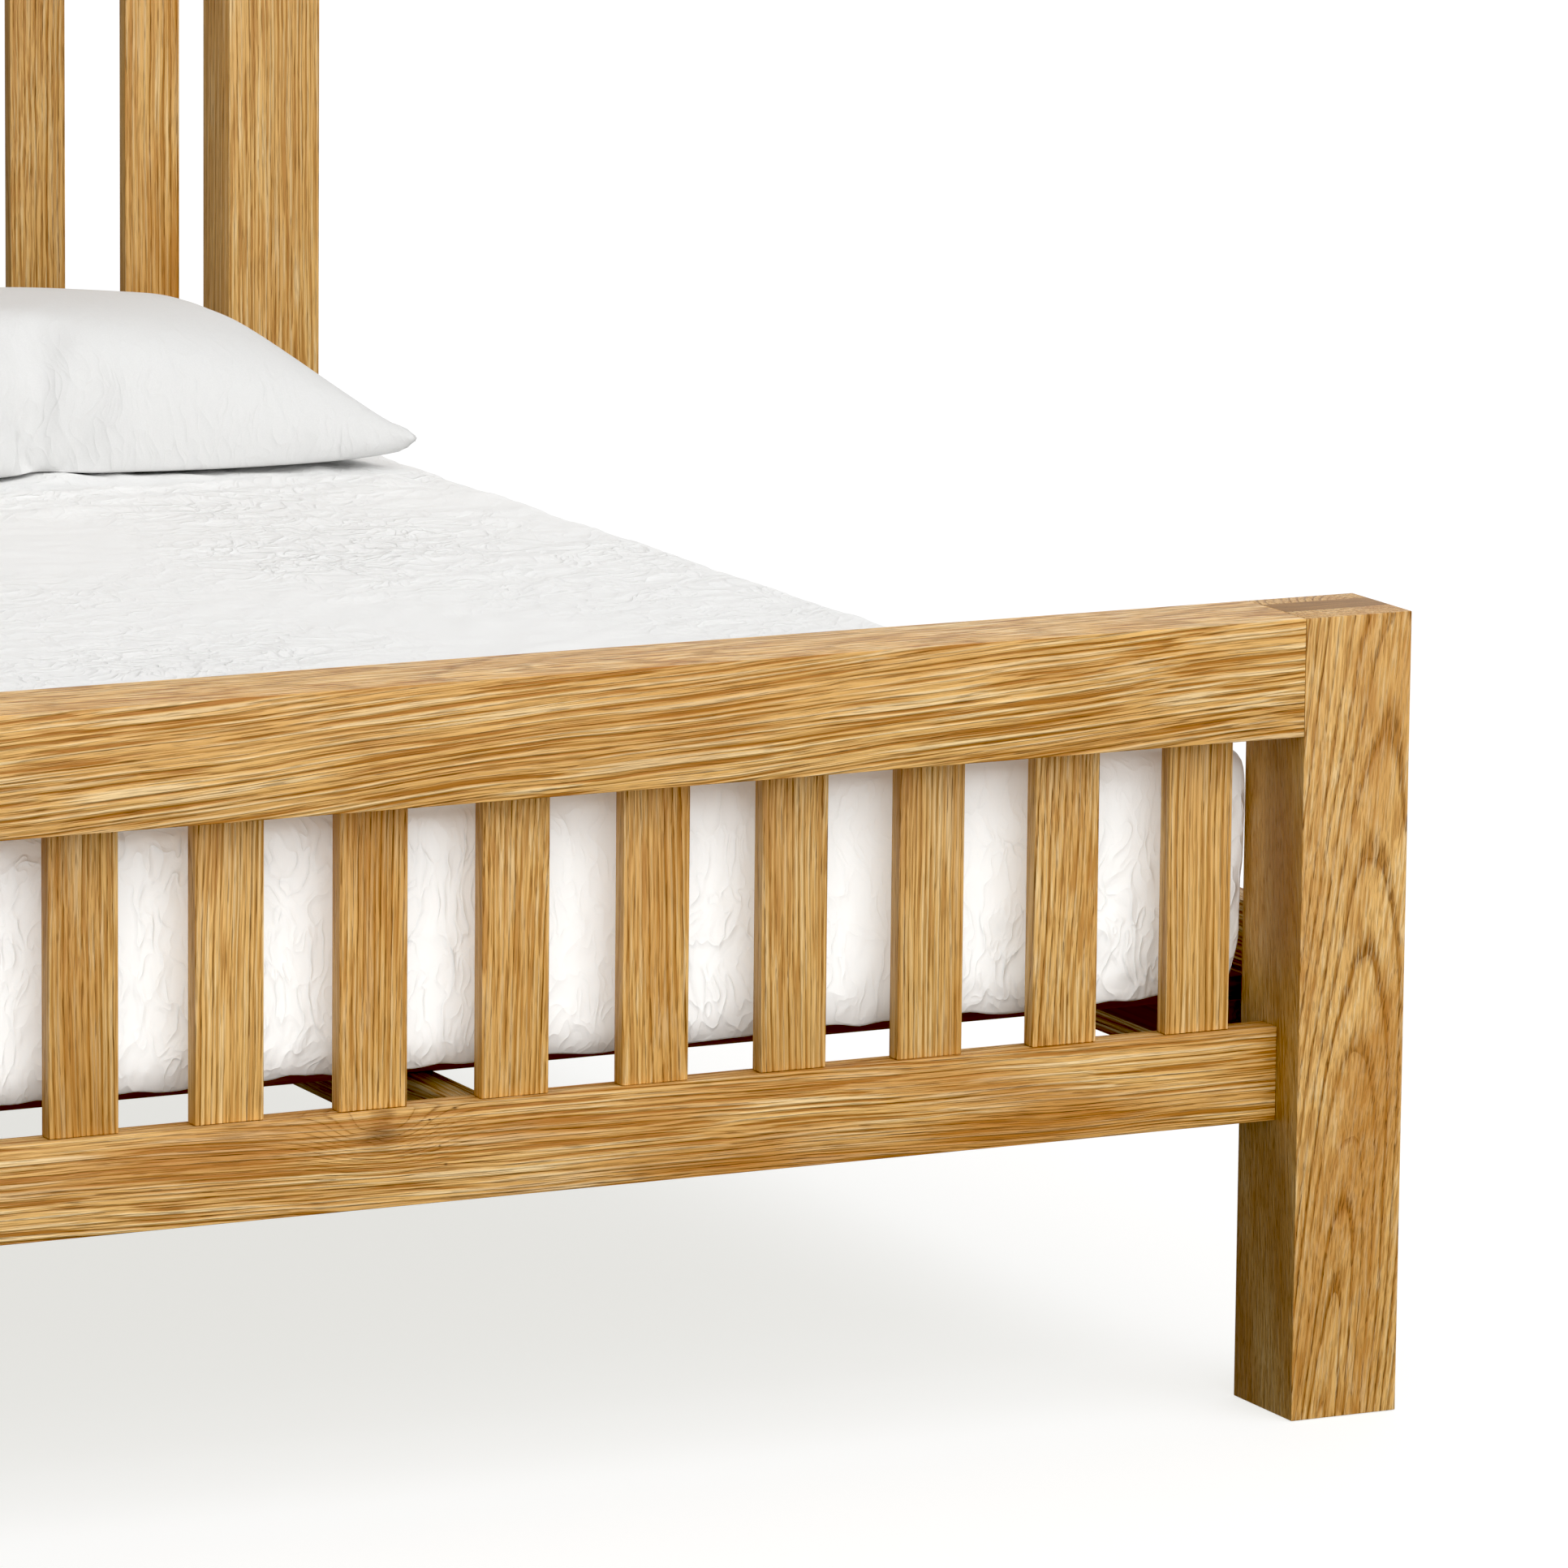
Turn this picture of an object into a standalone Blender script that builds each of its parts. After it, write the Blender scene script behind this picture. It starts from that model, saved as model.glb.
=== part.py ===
"""Slatted oak double bedstead with its mattress, fitted sheet and two pillows.

Metres, +Z up. The origin is on the floor at the centre of the bed's footprint, +Y points from
the foot to the head, and +X is to the right of someone who stands at the foot.
"""
import math

import bmesh
import bpy
from mathutils import Matrix, Vector

# ------------------------------------------------------------------ driving dimensions
FIT_GAP = 0.0003                  # between pieces that touch, and round a tenon, bolt or screw
ARRIS = 0.0012                    # chamfer along the timber's edges
CUT_PAST = 0.004                  # how far a cutter runs past the face that it opens

# Mattress that the bedstead is made for, and the room that it is given
MATTRESS_WIDTH = 1.350
MATTRESS_LENGTH = 1.900
MATTRESS_THICKNESS = 0.188
MATTRESS_EDGE_RADIUS = 0.022
MATTRESS_SIDE_CLEARANCE = 0.011   # to each post
MATTRESS_FOOT_CLEARANCE = 0.0035  # to the foot's top rail
MATTRESS_HEAD_CLEARANCE = 0.0215  # to the head posts
SHEET_THICKNESS = 0.0015
SHEET_HEM_HEIGHT = 0.004          # hem above the mattress's underside

# Posts
POST_WIDTH = 0.090
FOOT_POST_DEPTH = 0.090
FOOT_POST_TOP = 0.614
HEAD_POST_DEPTH = 0.060
HEAD_POST_TOP = 1.100

# Rails and slats of the two ends
TOP_RAIL_HEIGHT = 0.0893
LOWER_RAIL_BOTTOM = 0.226
LOWER_RAIL_HEIGHT = 0.072
LOWER_RAIL_THICKNESS = 0.024
TENON_LENGTH = 0.035
TENON_SHOULDER = 0.012            # above and below a tenon
TOP_TENON_THICKNESS = 0.030
LOWER_TENON_THICKNESS = 0.010
SLAT_COUNT = 12
SLAT_WIDTH = 0.0534
SLAT_THICKNESS = 0.0138
SLAT_END_GAP = 0.0395             # between an outer slat and its post
SLAT_TENON = 0.012                # slat inside each rail

# Side rails, ledges and the slatted base
SIDE_RAIL_THICKNESS = 0.025
SIDE_RAIL_HEIGHT = 0.145
LEDGE_THICKNESS = 0.025
LEDGE_HEIGHT = 0.045
LEDGE_END_CLEARANCE = 0.003
BASE_SLAT_COUNT = 12
BASE_SLAT_WIDTH = 0.090
BASE_SLAT_THICKNESS = 0.018
BASE_SLAT_END_CLEARANCE = 0.003
BASE_SLAT_BRACKET_CLEARANCE = 0.0097

# Centre beam, its leg and levelling foot
BEAM_WIDTH = 0.029
BEAM_HEIGHT = 0.045
BEAM_OFFSET = 0.0245              # beam's middle, to the right of the bed's middle
BEAM_TENON_LENGTH = 0.010         # into each lower rail
BEAM_TENON_BOTTOM = 0.003         # above the beam's underside
BEAM_TENON_HEIGHT = 0.025
LEG_WIDTH = 0.045
LEG_SPIGOT_RADIUS = 0.008
LEG_SPIGOT_LENGTH = 0.020
LEVELLER_RADIUS = 0.019
LEVELLER_HEIGHT = 0.008
LEVELLER_STEM_RADIUS = 0.004
LEVELLER_STEM_LENGTH = 0.032
LEVELLER_TRAVEL = 0.012
LEVELLER_BORE_SPARE = 0.004       # bore above the stem's end

# Steel brackets at the four corners, and the holes for their bolts and for the base slats' screws
BRACKET_THICKNESS = 0.003
BRACKET_HEIGHT = 0.125
BRACKET_POST_LEG = 0.028          # leg on the post
BRACKET_RAIL_LEG = 0.040          # leg on the side rail
BRACKET_BOLT_SPACING = 0.070
BOLT_RADIUS = 0.0039
BOLT_LENGTH = 0.022
SCREW_HEAD_RADIUS = 0.0042
SCREW_HEAD_HEIGHT = 0.0026
SCREW_RADIUS = 0.0020
SCREW_LENGTH = 0.032
SCREW_SINK = 0.0006               # head below the slat's top
ROUND_SIDES = 12
DISC_SIDES = 24

# Pillows
PILLOW_EDGE_INSET = 0.007         # from the mattress's side
PILLOW_DEPTH = 0.470
PILLOW_CROWN = 0.128              # above its seam
PILLOW_BELLY = 0.040              # below its seam
PILLOW_GAP = 0.008                # between the two pillows
PILLOW_HEAD_CLEARANCE = 0.038     # to the head slats
PILLOW_EDGE_THINNING = 0.80       # share of the height that is lost towards an edge
PILLOW_SIDE_PULL = 0.045          # how far the sides pull in, as a share of the half size

# ------------------------------------------------------------------ derived layout
INNER_HALF = MATTRESS_WIDTH / 2 + MATTRESS_SIDE_CLEARANCE
OUTER_HALF = INNER_HALF + POST_WIDTH
INNER_LENGTH = MATTRESS_FOOT_CLEARANCE + MATTRESS_LENGTH + MATTRESS_HEAD_CLEARANCE
OVERALL_LENGTH = FOOT_POST_DEPTH + INNER_LENGTH + HEAD_POST_DEPTH
FOOT_FRONT = -OVERALL_LENGTH / 2
FOOT_BACK = FOOT_FRONT + FOOT_POST_DEPTH
HEAD_FRONT = FOOT_BACK + INNER_LENGTH
HEAD_BACK = HEAD_FRONT + HEAD_POST_DEPTH
FOOT_CENTRE = (FOOT_FRONT + FOOT_BACK) / 2
HEAD_CENTRE = (HEAD_FRONT + HEAD_BACK) / 2

LOWER_RAIL_TOP = LOWER_RAIL_BOTTOM + LOWER_RAIL_HEIGHT
SLAT_PITCH = (2 * INNER_HALF - 2 * SLAT_END_GAP - SLAT_WIDTH) / (SLAT_COUNT - 1)

SIDE_RAIL_INNER = INNER_HALF + (POST_WIDTH - SIDE_RAIL_THICKNESS) / 2
SIDE_RAIL_OUTER = SIDE_RAIL_INNER + SIDE_RAIL_THICKNESS
SIDE_RAIL_TOP = LOWER_RAIL_BOTTOM + SIDE_RAIL_HEIGHT
BRACKET_FOOT_END = FOOT_BACK + FIT_GAP + BRACKET_RAIL_LEG
BRACKET_HEAD_END = HEAD_FRONT - FIT_GAP - BRACKET_RAIL_LEG
BRACKET_MIDDLE = LOWER_RAIL_BOTTOM + SIDE_RAIL_HEIGHT / 2
LEDGE_OUTER = SIDE_RAIL_INNER - FIT_GAP
LEDGE_MIDDLE = LEDGE_OUTER - LEDGE_THICKNESS / 2

BASE_TOP = LOWER_RAIL_TOP + FIT_GAP + BASE_SLAT_THICKNESS
BASE_START = BRACKET_FOOT_END + BASE_SLAT_BRACKET_CLEARANCE
BASE_END = BRACKET_HEAD_END - BASE_SLAT_BRACKET_CLEARANCE
BASE_PITCH = (BASE_END - BASE_START - BASE_SLAT_WIDTH) / (BASE_SLAT_COUNT - 1)

BEAM_BOTTOM = LOWER_RAIL_TOP - BEAM_HEIGHT
BEAM_START = FOOT_CENTRE + LOWER_RAIL_THICKNESS / 2 + FIT_GAP
BEAM_END = HEAD_CENTRE - LOWER_RAIL_THICKNESS / 2 - FIT_GAP
LEG_TOP = BEAM_BOTTOM - FIT_GAP
LEG_BOTTOM = LEVELLER_HEIGHT + FIT_GAP
LEG_Y = (BEAM_START + BEAM_END) / 2

MATTRESS_BOTTOM = BASE_TOP + FIT_GAP
MATTRESS_TOP = MATTRESS_BOTTOM + MATTRESS_THICKNESS
MATTRESS_FRONT = FOOT_BACK + MATTRESS_FOOT_CLEARANCE
MATTRESS_BACK = MATTRESS_FRONT + MATTRESS_LENGTH
SHEET_TOP = MATTRESS_TOP + FIT_GAP + SHEET_THICKNESS
HEAD_SLAT_FRONT = HEAD_CENTRE - SLAT_THICKNESS / 2
PILLOW_WIDTH = (MATTRESS_WIDTH - PILLOW_GAP) / 2 - PILLOW_EDGE_INSET

SIDES = (("left", -1), ("right", 1))

# ------------------------------------------------------------------ finishes: colour, roughness, metallic
OAK = ((0.56, 0.30, 0.095), 0.55, 0.0)
PINE = ((0.62, 0.42, 0.20), 0.65, 0.0)
STEEL = ((0.55, 0.55, 0.56), 0.35, 1.0)
NYLON = ((0.03, 0.03, 0.03), 0.50, 0.0)
COTTON = ((0.86, 0.86, 0.85), 0.90, 0.0)
TICKING = ((0.80, 0.80, 0.78), 0.90, 0.0)


# ------------------------------------------------------------------ small helpers
def new_collection(name):
    """Make a collection in the scene."""
    collection = bpy.data.collections.new(name)
    bpy.context.scene.collection.children.link(collection)
    return collection


def make_material(name, finish):
    """Make a Principled material from a finish."""
    colour, roughness, metallic = finish
    material = bpy.data.materials.new(name)
    material.use_nodes = True
    shader = material.node_tree.nodes["Principled BSDF"]
    shader.inputs["Base Color"].default_value = (*colour, 1.0)
    shader.inputs["Roughness"].default_value = roughness
    shader.inputs["Metallic"].default_value = metallic
    return material


def new_part(name, bm, finish, centre=(0, 0, 0)):
    """Turn a bmesh into a named part with its own material, placed at its centre."""
    mesh = bpy.data.meshes.new(name)
    bm.to_mesh(mesh)
    bm.free()
    part = bpy.data.objects.new(name, mesh)
    part.location = centre
    mesh.materials.append(make_material(name, finish))
    PARTS.objects.link(part)
    return part


def new_cutter(name, bm):
    """Turn a bmesh into a tool for Boolean modifiers, which isn't part of the bed."""
    mesh = bpy.data.meshes.new(name)
    bm.to_mesh(mesh)
    bm.free()
    cutter = bpy.data.objects.new(name, mesh)
    cutter.hide_render = True
    cutter.display_type = 'WIRE'
    CUTTERS.objects.link(cutter)
    return cutter


def add_box(bm, corner_a, corner_b):
    """Add a box between two opposite corners, given in any order."""
    corner_a, corner_b = Vector(corner_a), Vector(corner_b)
    size = [abs(length) for length in corner_b - corner_a]
    matrix = Matrix.Translation((corner_a + corner_b) / 2) @ Matrix.Diagonal((*size, 1))
    bmesh.ops.create_cube(bm, size=1, matrix=matrix)


def add_boxes(boxes, grow=0.0):
    """Return a bmesh that holds several boxes, each grown on all sides."""
    bm = bmesh.new()
    for corner_a, corner_b in boxes:
        low = [min(pair) - grow for pair in zip(corner_a, corner_b)]
        high = [max(pair) + grow for pair in zip(corner_a, corner_b)]
        add_box(bm, low, high)
    return bm


def add_rod(bm, radius, start, end, sides=ROUND_SIDES):
    """Add a cylinder from one point to another."""
    start, end = Vector(start), Vector(end)
    turn = (end - start).to_track_quat('Z', 'Y').to_matrix().to_4x4()
    bmesh.ops.create_cone(bm, cap_ends=True, segments=sides, radius1=radius, radius2=radius,
                          depth=(end - start).length,
                          matrix=Matrix.Translation((start + end) / 2) @ turn)


def boolean(part, tool, operation='DIFFERENCE'):
    """Cut a part with a tool, or join the tool to it."""
    modifier = part.modifiers.new(tool.name, 'BOOLEAN')
    modifier.operation = operation
    modifier.solver = 'EXACT'
    modifier.object = tool


def plank(name, corner_a, corner_b, finish=OAK, arris=ARRIS):
    """A piece of timber between two opposite corners, its edges broken with a small chamfer."""
    corner_a, corner_b = Vector(corner_a), Vector(corner_b)
    centre = (corner_a + corner_b) / 2
    bm = bmesh.new()
    add_box(bm, corner_a - centre, corner_b - centre)
    part = new_part(name, bm, finish, centre)
    bevel = part.modifiers.new("arris", 'BEVEL')
    bevel.width = arris
    bevel.segments = 1
    bevel.limit_method = 'NONE'
    return part


def turned_mesh(profile, sides):
    """Spin a profile of (radius, height) points about Z, from the top's centre to the bottom's."""
    mesh = bpy.data.meshes.new("turned")
    points = [(radius, 0, height) for radius, height in profile]
    mesh.from_pydata(points, [(i, i + 1) for i in range(len(points) - 1)], [])
    turned = bpy.data.objects.new("turned", mesh)
    CUTTERS.objects.link(turned)
    screw = turned.modifiers.new("turn", 'SCREW')
    screw.axis = 'Z'
    screw.angle = 2 * math.pi
    screw.steps = sides
    screw.render_steps = sides
    screw.use_merge_vertices = True
    screw.merge_threshold = 0.00001
    bpy.context.view_layer.update()
    evaluated = turned.evaluated_get(bpy.context.evaluated_depsgraph_get())
    solid = bpy.data.meshes.new_from_object(evaluated)
    bpy.data.objects.remove(turned)
    return solid


def add_copies(solid, places):
    """Return a bmesh with one copy of a mesh at each (point, way up) place."""
    bm = bmesh.new()
    for point, up in places:
        turn = Vector(up).to_track_quat('Z', 'Y').to_matrix().to_4x4()
        matrix = Matrix.Translation(point) @ turn
        first = len(bm.verts)
        bm.from_mesh(solid)
        bm.verts.ensure_lookup_table()
        bmesh.ops.transform(bm, matrix=matrix, verts=bm.verts[first:])
    return bm


# ------------------------------------------------------------------ fasteners' places
def corner_bolt_places():
    """Bolts of the four corner brackets, as (point under the head, way the head faces)."""
    places = []
    leg_x = SIDE_RAIL_INNER - FIT_GAP - (BRACKET_THICKNESS + BRACKET_POST_LEG) / 2
    face_x = SIDE_RAIL_INNER - 2 * FIT_GAP - BRACKET_THICKNESS
    for _, side in SIDES:
        for post_face, way in ((FOOT_BACK, 1), (HEAD_FRONT, -1)):
            face_y = post_face + way * (2 * FIT_GAP + BRACKET_THICKNESS)
            leg_y = post_face + way * (FIT_GAP + (BRACKET_THICKNESS + BRACKET_RAIL_LEG) / 2)
            for step in (-0.5, 0.5):
                z = BRACKET_MIDDLE + step * BRACKET_BOLT_SPACING
                places.append(((side * leg_x, face_y, z), (0, way, 0)))
                places.append(((side * face_x, leg_y, z), (-side, 0, 0)))
    return places


def base_slat_centres():
    """Distance along the bed of each base slat's middle."""
    return [BASE_START + BASE_SLAT_WIDTH / 2 + i * BASE_PITCH for i in range(BASE_SLAT_COUNT)]


def screw_places():
    """Screws through the base slats into the ledges, as (point at the head's top, way it faces)."""
    top = BASE_TOP - SCREW_SINK
    return [((side * LEDGE_MIDDLE, y, top), (0, 0, 1)) for y in base_slat_centres() for _, side in SIDES]


# ------------------------------------------------------------------ the two slatted ends
def slat_box(index, centre_y, top_rail_bottom):
    """Corners of one upright slat, with its ends inside the rails."""
    middle = -INNER_HALF + SLAT_END_GAP + SLAT_WIDTH / 2 + index * SLAT_PITCH
    low = (middle - SLAT_WIDTH / 2, centre_y - SLAT_THICKNESS / 2, LOWER_RAIL_TOP - SLAT_TENON)
    high = (middle + SLAT_WIDTH / 2, centre_y + SLAT_THICKNESS / 2, top_rail_bottom + SLAT_TENON)
    return low, high


def tenon_boxes(centre_y, thickness, bottom, top):
    """Corners of a rail's two tenons, from inside the rail to their ends in the posts."""
    root = INNER_HALF - FIT_GAP - CUT_PAST
    tip = INNER_HALF + TENON_LENGTH
    return [((side * root, centre_y - thickness / 2, bottom + TENON_SHOULDER),
             (side * tip, centre_y + thickness / 2, top - TENON_SHOULDER)) for _, side in SIDES]


def end_frame(end, centre_y, depth, top, bolt_holes, beam_mortises):
    """One end of the bed: two posts, a top rail, a lower rail and the slats between them."""
    top_rail_bottom = top - TOP_RAIL_HEIGHT
    slats = [slat_box(i, centre_y, top_rail_bottom) for i in range(SLAT_COUNT)]
    rails = (
        ("top_rail", depth, top_rail_bottom, top, TOP_TENON_THICKNESS),
        ("lower_rail", LOWER_RAIL_THICKNESS, LOWER_RAIL_BOTTOM, LOWER_RAIL_TOP, LOWER_TENON_THICKNESS),
    )
    slat_mortises = new_cutter(f"{end}_slat_mortises", add_boxes(slats, FIT_GAP))
    all_tenons = []
    for kind, thickness, low, high, tenon_thickness in rails:
        half = INNER_HALF - FIT_GAP
        rail = plank(f"{end}_{kind}", (-half, centre_y - thickness / 2, low),
                     (half, centre_y + thickness / 2, high))
        tenons = tenon_boxes(centre_y, tenon_thickness, low, high)
        boolean(rail, new_cutter(f"{end}_{kind}_tenons", add_boxes(tenons)), 'UNION')
        boolean(rail, slat_mortises)
        if kind == "lower_rail":
            boolean(rail, beam_mortises)
        all_tenons += tenons
    post_mortises = new_cutter(f"{end}_post_mortises", add_boxes(all_tenons, FIT_GAP))
    for name, side in SIDES:
        post = plank(f"{end}_post_{name}", (side * INNER_HALF, centre_y - depth / 2, 0),
                     (side * OUTER_HALF, centre_y + depth / 2, top))
        boolean(post, post_mortises)
        boolean(post, bolt_holes)
    for i, (low, high) in enumerate(slats):
        plank(f"{end}_slat_{i + 1:02d}", low, high)


# ------------------------------------------------------------------ sides, base and beam
def side_rails(bolt_holes, screw_holes):
    """The two side rails and the ledges that carry the base slats."""
    for name, side in SIDES:
        rail = plank(f"side_rail_{name}",
                     (side * SIDE_RAIL_INNER, FOOT_BACK + FIT_GAP, LOWER_RAIL_BOTTOM),
                     (side * SIDE_RAIL_OUTER, HEAD_FRONT - FIT_GAP, SIDE_RAIL_TOP))
        boolean(rail, bolt_holes)
        ledge = plank(f"side_ledge_{name}",
                      (side * (LEDGE_OUTER - LEDGE_THICKNESS), BRACKET_FOOT_END + LEDGE_END_CLEARANCE,
                       LOWER_RAIL_TOP - LEDGE_HEIGHT),
                      (side * LEDGE_OUTER, BRACKET_HEAD_END - LEDGE_END_CLEARANCE, LOWER_RAIL_TOP),
                      PINE)
        boolean(ledge, screw_holes)


def base_slats(screw_holes):
    """The cross slats that the mattress lies on."""
    half = SIDE_RAIL_INNER - BASE_SLAT_END_CLEARANCE
    for i, y in enumerate(base_slat_centres()):
        slat = plank(f"base_slat_{i + 1:02d}",
                     (-half, y - BASE_SLAT_WIDTH / 2, BASE_TOP - BASE_SLAT_THICKNESS),
                     (half, y + BASE_SLAT_WIDTH / 2, BASE_TOP), PINE)
        boolean(slat, screw_holes)


def beam_tenon_boxes():
    """Corners of the centre beam's stub tenons, from inside the beam to their ends in the rails."""
    low = BEAM_BOTTOM + BEAM_TENON_BOTTOM
    return [((BEAM_OFFSET - BEAM_WIDTH / 2 + ARRIS, end - way * CUT_PAST, low),
             (BEAM_OFFSET + BEAM_WIDTH / 2 - ARRIS, end + way * (BEAM_TENON_LENGTH + FIT_GAP),
              low + BEAM_TENON_HEIGHT)) for end, way in ((BEAM_START, -1), (BEAM_END, 1))]


def centre_support(tenons):
    """The centre beam, the leg at its middle, and the levelling foot in the leg."""
    beam = plank("centre_beam", (BEAM_OFFSET - BEAM_WIDTH / 2, BEAM_START, BEAM_BOTTOM),
                 (BEAM_OFFSET + BEAM_WIDTH / 2, BEAM_END, LOWER_RAIL_TOP))
    boolean(beam, new_cutter("beam_tenons", add_boxes(tenons)), 'UNION')
    spigot_top = BEAM_BOTTOM + LEG_SPIGOT_LENGTH
    spigot_hole = bmesh.new()
    add_rod(spigot_hole, LEG_SPIGOT_RADIUS + FIT_GAP, (BEAM_OFFSET, LEG_Y, BEAM_BOTTOM - CUT_PAST),
            (BEAM_OFFSET, LEG_Y, spigot_top + FIT_GAP))
    boolean(beam, new_cutter("leg_spigot_hole", spigot_hole))

    leg = plank("centre_leg", (BEAM_OFFSET - LEG_WIDTH / 2, LEG_Y - LEG_WIDTH / 2, LEG_BOTTOM),
                (BEAM_OFFSET + LEG_WIDTH / 2, LEG_Y + LEG_WIDTH / 2, LEG_TOP))
    spigot = bmesh.new()
    add_rod(spigot, LEG_SPIGOT_RADIUS, (BEAM_OFFSET, LEG_Y, LEG_TOP - CUT_PAST),
            (BEAM_OFFSET, LEG_Y, spigot_top))
    boolean(leg, new_cutter("leg_spigot", spigot), 'UNION')
    bore = bmesh.new()
    add_rod(bore, LEVELLER_STEM_RADIUS + FIT_GAP, (BEAM_OFFSET, LEG_Y, LEG_BOTTOM - CUT_PAST),
            (BEAM_OFFSET, LEG_Y, LEVELLER_HEIGHT + LEVELLER_STEM_LENGTH + LEVELLER_BORE_SPARE))
    boolean(leg, new_cutter("leveller_bore", bore))

    stem_top = LEVELLER_HEIGHT + LEVELLER_STEM_LENGTH
    chamfer = ARRIS
    profile = ((0, stem_top), (LEVELLER_STEM_RADIUS, stem_top),
               (LEVELLER_STEM_RADIUS, LEVELLER_HEIGHT), (LEVELLER_RADIUS - chamfer, LEVELLER_HEIGHT),
               (LEVELLER_RADIUS, LEVELLER_HEIGHT - chamfer), (LEVELLER_RADIUS, 0), (0, 0))
    solid = turned_mesh(profile, DISC_SIDES)
    new_part("centre_leg_foot", add_copies(solid, [((0, 0, 0), (0, 0, 1))]), NYLON,
             (BEAM_OFFSET, LEG_Y, 0))


# ------------------------------------------------------------------ brackets, bolt and screw holes
def corner_brackets(bolt_holes):
    """Four steel angles that hold the side rails to the posts."""
    rail_face = SIDE_RAIL_INNER - FIT_GAP
    bottom = BRACKET_MIDDLE - BRACKET_HEIGHT / 2
    top = BRACKET_MIDDLE + BRACKET_HEIGHT / 2
    for name, side in SIDES:
        for end, post_face, way in (("foot", FOOT_BACK, 1), ("head", HEAD_FRONT, -1)):
            heel = Vector((side * rail_face, post_face + way * FIT_GAP, bottom))
            toe = Vector((side * (rail_face - BRACKET_POST_LEG),
                          post_face + way * (FIT_GAP + BRACKET_RAIL_LEG), top))
            inset = Vector((-side * BRACKET_THICKNESS, way * BRACKET_THICKNESS, -CUT_PAST))
            past = Vector((-side * CUT_PAST, way * CUT_PAST, CUT_PAST))
            bracket = new_part(f"corner_bracket_{end}_{name}", add_boxes([(heel, toe)]), STEEL)
            hollow = new_cutter(f"bracket_hollow_{end}_{name}",
                                add_boxes([(heel + inset, toe + past)]))
            boolean(bracket, hollow)
            boolean(bracket, bolt_holes)


def bolt_hole_cutter(places):
    """The holes that the bolts' shanks pass through."""
    radius = BOLT_RADIUS + FIT_GAP
    profile = ((0, CUT_PAST / 4), (radius, CUT_PAST / 4), (radius, -BOLT_LENGTH - FIT_GAP),
               (0, -BOLT_LENGTH - FIT_GAP))
    return new_cutter("bolt_holes", add_copies(turned_mesh(profile, ROUND_SIDES), places))


def screw_hole_cutter(places):
    """The countersunk holes of the slat screws, open above the screws' heads."""
    head = SCREW_HEAD_RADIUS + FIT_GAP
    shank = SCREW_RADIUS + FIT_GAP
    tip = -SCREW_LENGTH - FIT_GAP
    profile = ((0, CUT_PAST), (head, CUT_PAST), (head, 0), (shank, -SCREW_HEAD_HEIGHT),
               (shank, tip), (0, tip))
    return new_cutter("screw_holes", add_copies(turned_mesh(profile, ROUND_SIDES), places))


# ------------------------------------------------------------------ bedding
def rounded_block(half_width, half_length, bottom, top, radius, open_below=False):
    """A block with rounded edges about the bed's length, or its skin without the underside."""
    bm = bmesh.new()
    middle_z = (bottom + top) / 2
    add_box(bm, (-half_width, -half_length, bottom - middle_z), (half_width, half_length, top - middle_z))
    if open_below:
        lowest = min(bm.faces, key=lambda face: face.calc_center_median().z)
        bmesh.ops.delete(bm, geom=[lowest], context='FACES_ONLY')
    edges = [edge for edge in bm.edges if not edge.is_boundary]
    bmesh.ops.bevel(bm, geom=edges, offset=radius, offset_type='OFFSET', segments=3, profile=0.5,
                    affect='EDGES', clamp_overlap=True, material=-1)
    return bm, middle_z


def mattress():
    """The mattress, with rounded edges."""
    bm, middle_z = rounded_block(MATTRESS_WIDTH / 2, MATTRESS_LENGTH / 2, MATTRESS_BOTTOM,
                                 MATTRESS_TOP, MATTRESS_EDGE_RADIUS)
    new_part("mattress", bm, TICKING, (0, (MATTRESS_FRONT + MATTRESS_BACK) / 2, middle_z))


def fitted_sheet():
    """The sheet over the mattress's top and sides, open below."""
    bm, middle_z = rounded_block(MATTRESS_WIDTH / 2 + FIT_GAP, MATTRESS_LENGTH / 2 + FIT_GAP,
                                 MATTRESS_BOTTOM + SHEET_HEM_HEIGHT, MATTRESS_TOP + FIT_GAP,
                                 MATTRESS_EDGE_RADIUS, open_below=True)
    sheet = new_part("fitted_sheet", bm, COTTON, (0, (MATTRESS_FRONT + MATTRESS_BACK) / 2, middle_z))
    solidify = sheet.modifiers.new("cloth", 'SOLIDIFY')
    solidify.thickness = SHEET_THICKNESS
    solidify.offset = 1.0


def pillow(name, side):
    """A plump pillow: full in the middle, thin at its seam, its sides pulled in between corners."""
    cage_cuts = 3
    bm = bmesh.new()
    bmesh.ops.create_cube(bm, size=2)
    bmesh.ops.subdivide_edges(bm, edges=bm.edges[:], cuts=cage_cuts, use_grid_fill=True)
    for vert in bm.verts:
        u, v, w = vert.co
        thin = (1 - PILLOW_EDGE_THINNING * u ** 4) * (1 - PILLOW_EDGE_THINNING * v ** 4)
        pull_x = 1 - PILLOW_SIDE_PULL * (1 - v * v)
        pull_y = 1 - PILLOW_SIDE_PULL * (1 - u * u)
        height = PILLOW_CROWN if w > 0 else PILLOW_BELLY
        vert.co = (u * pull_x * PILLOW_WIDTH / 2, v * pull_y * PILLOW_DEPTH / 2, w * thin * height)
    middle_x = side * (PILLOW_GAP + PILLOW_WIDTH) / 2
    middle_y = HEAD_SLAT_FRONT - PILLOW_HEAD_CLEARANCE - PILLOW_DEPTH / 2
    part = new_part(f"pillow_{name}", bm, COTTON,
                    (middle_x, middle_y, SHEET_TOP + FIT_GAP + PILLOW_BELLY))
    soften = part.modifiers.new("soften", 'SUBSURF')
    soften.levels = 1
    soften.render_levels = 1
    part.data.shade_smooth()


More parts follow.
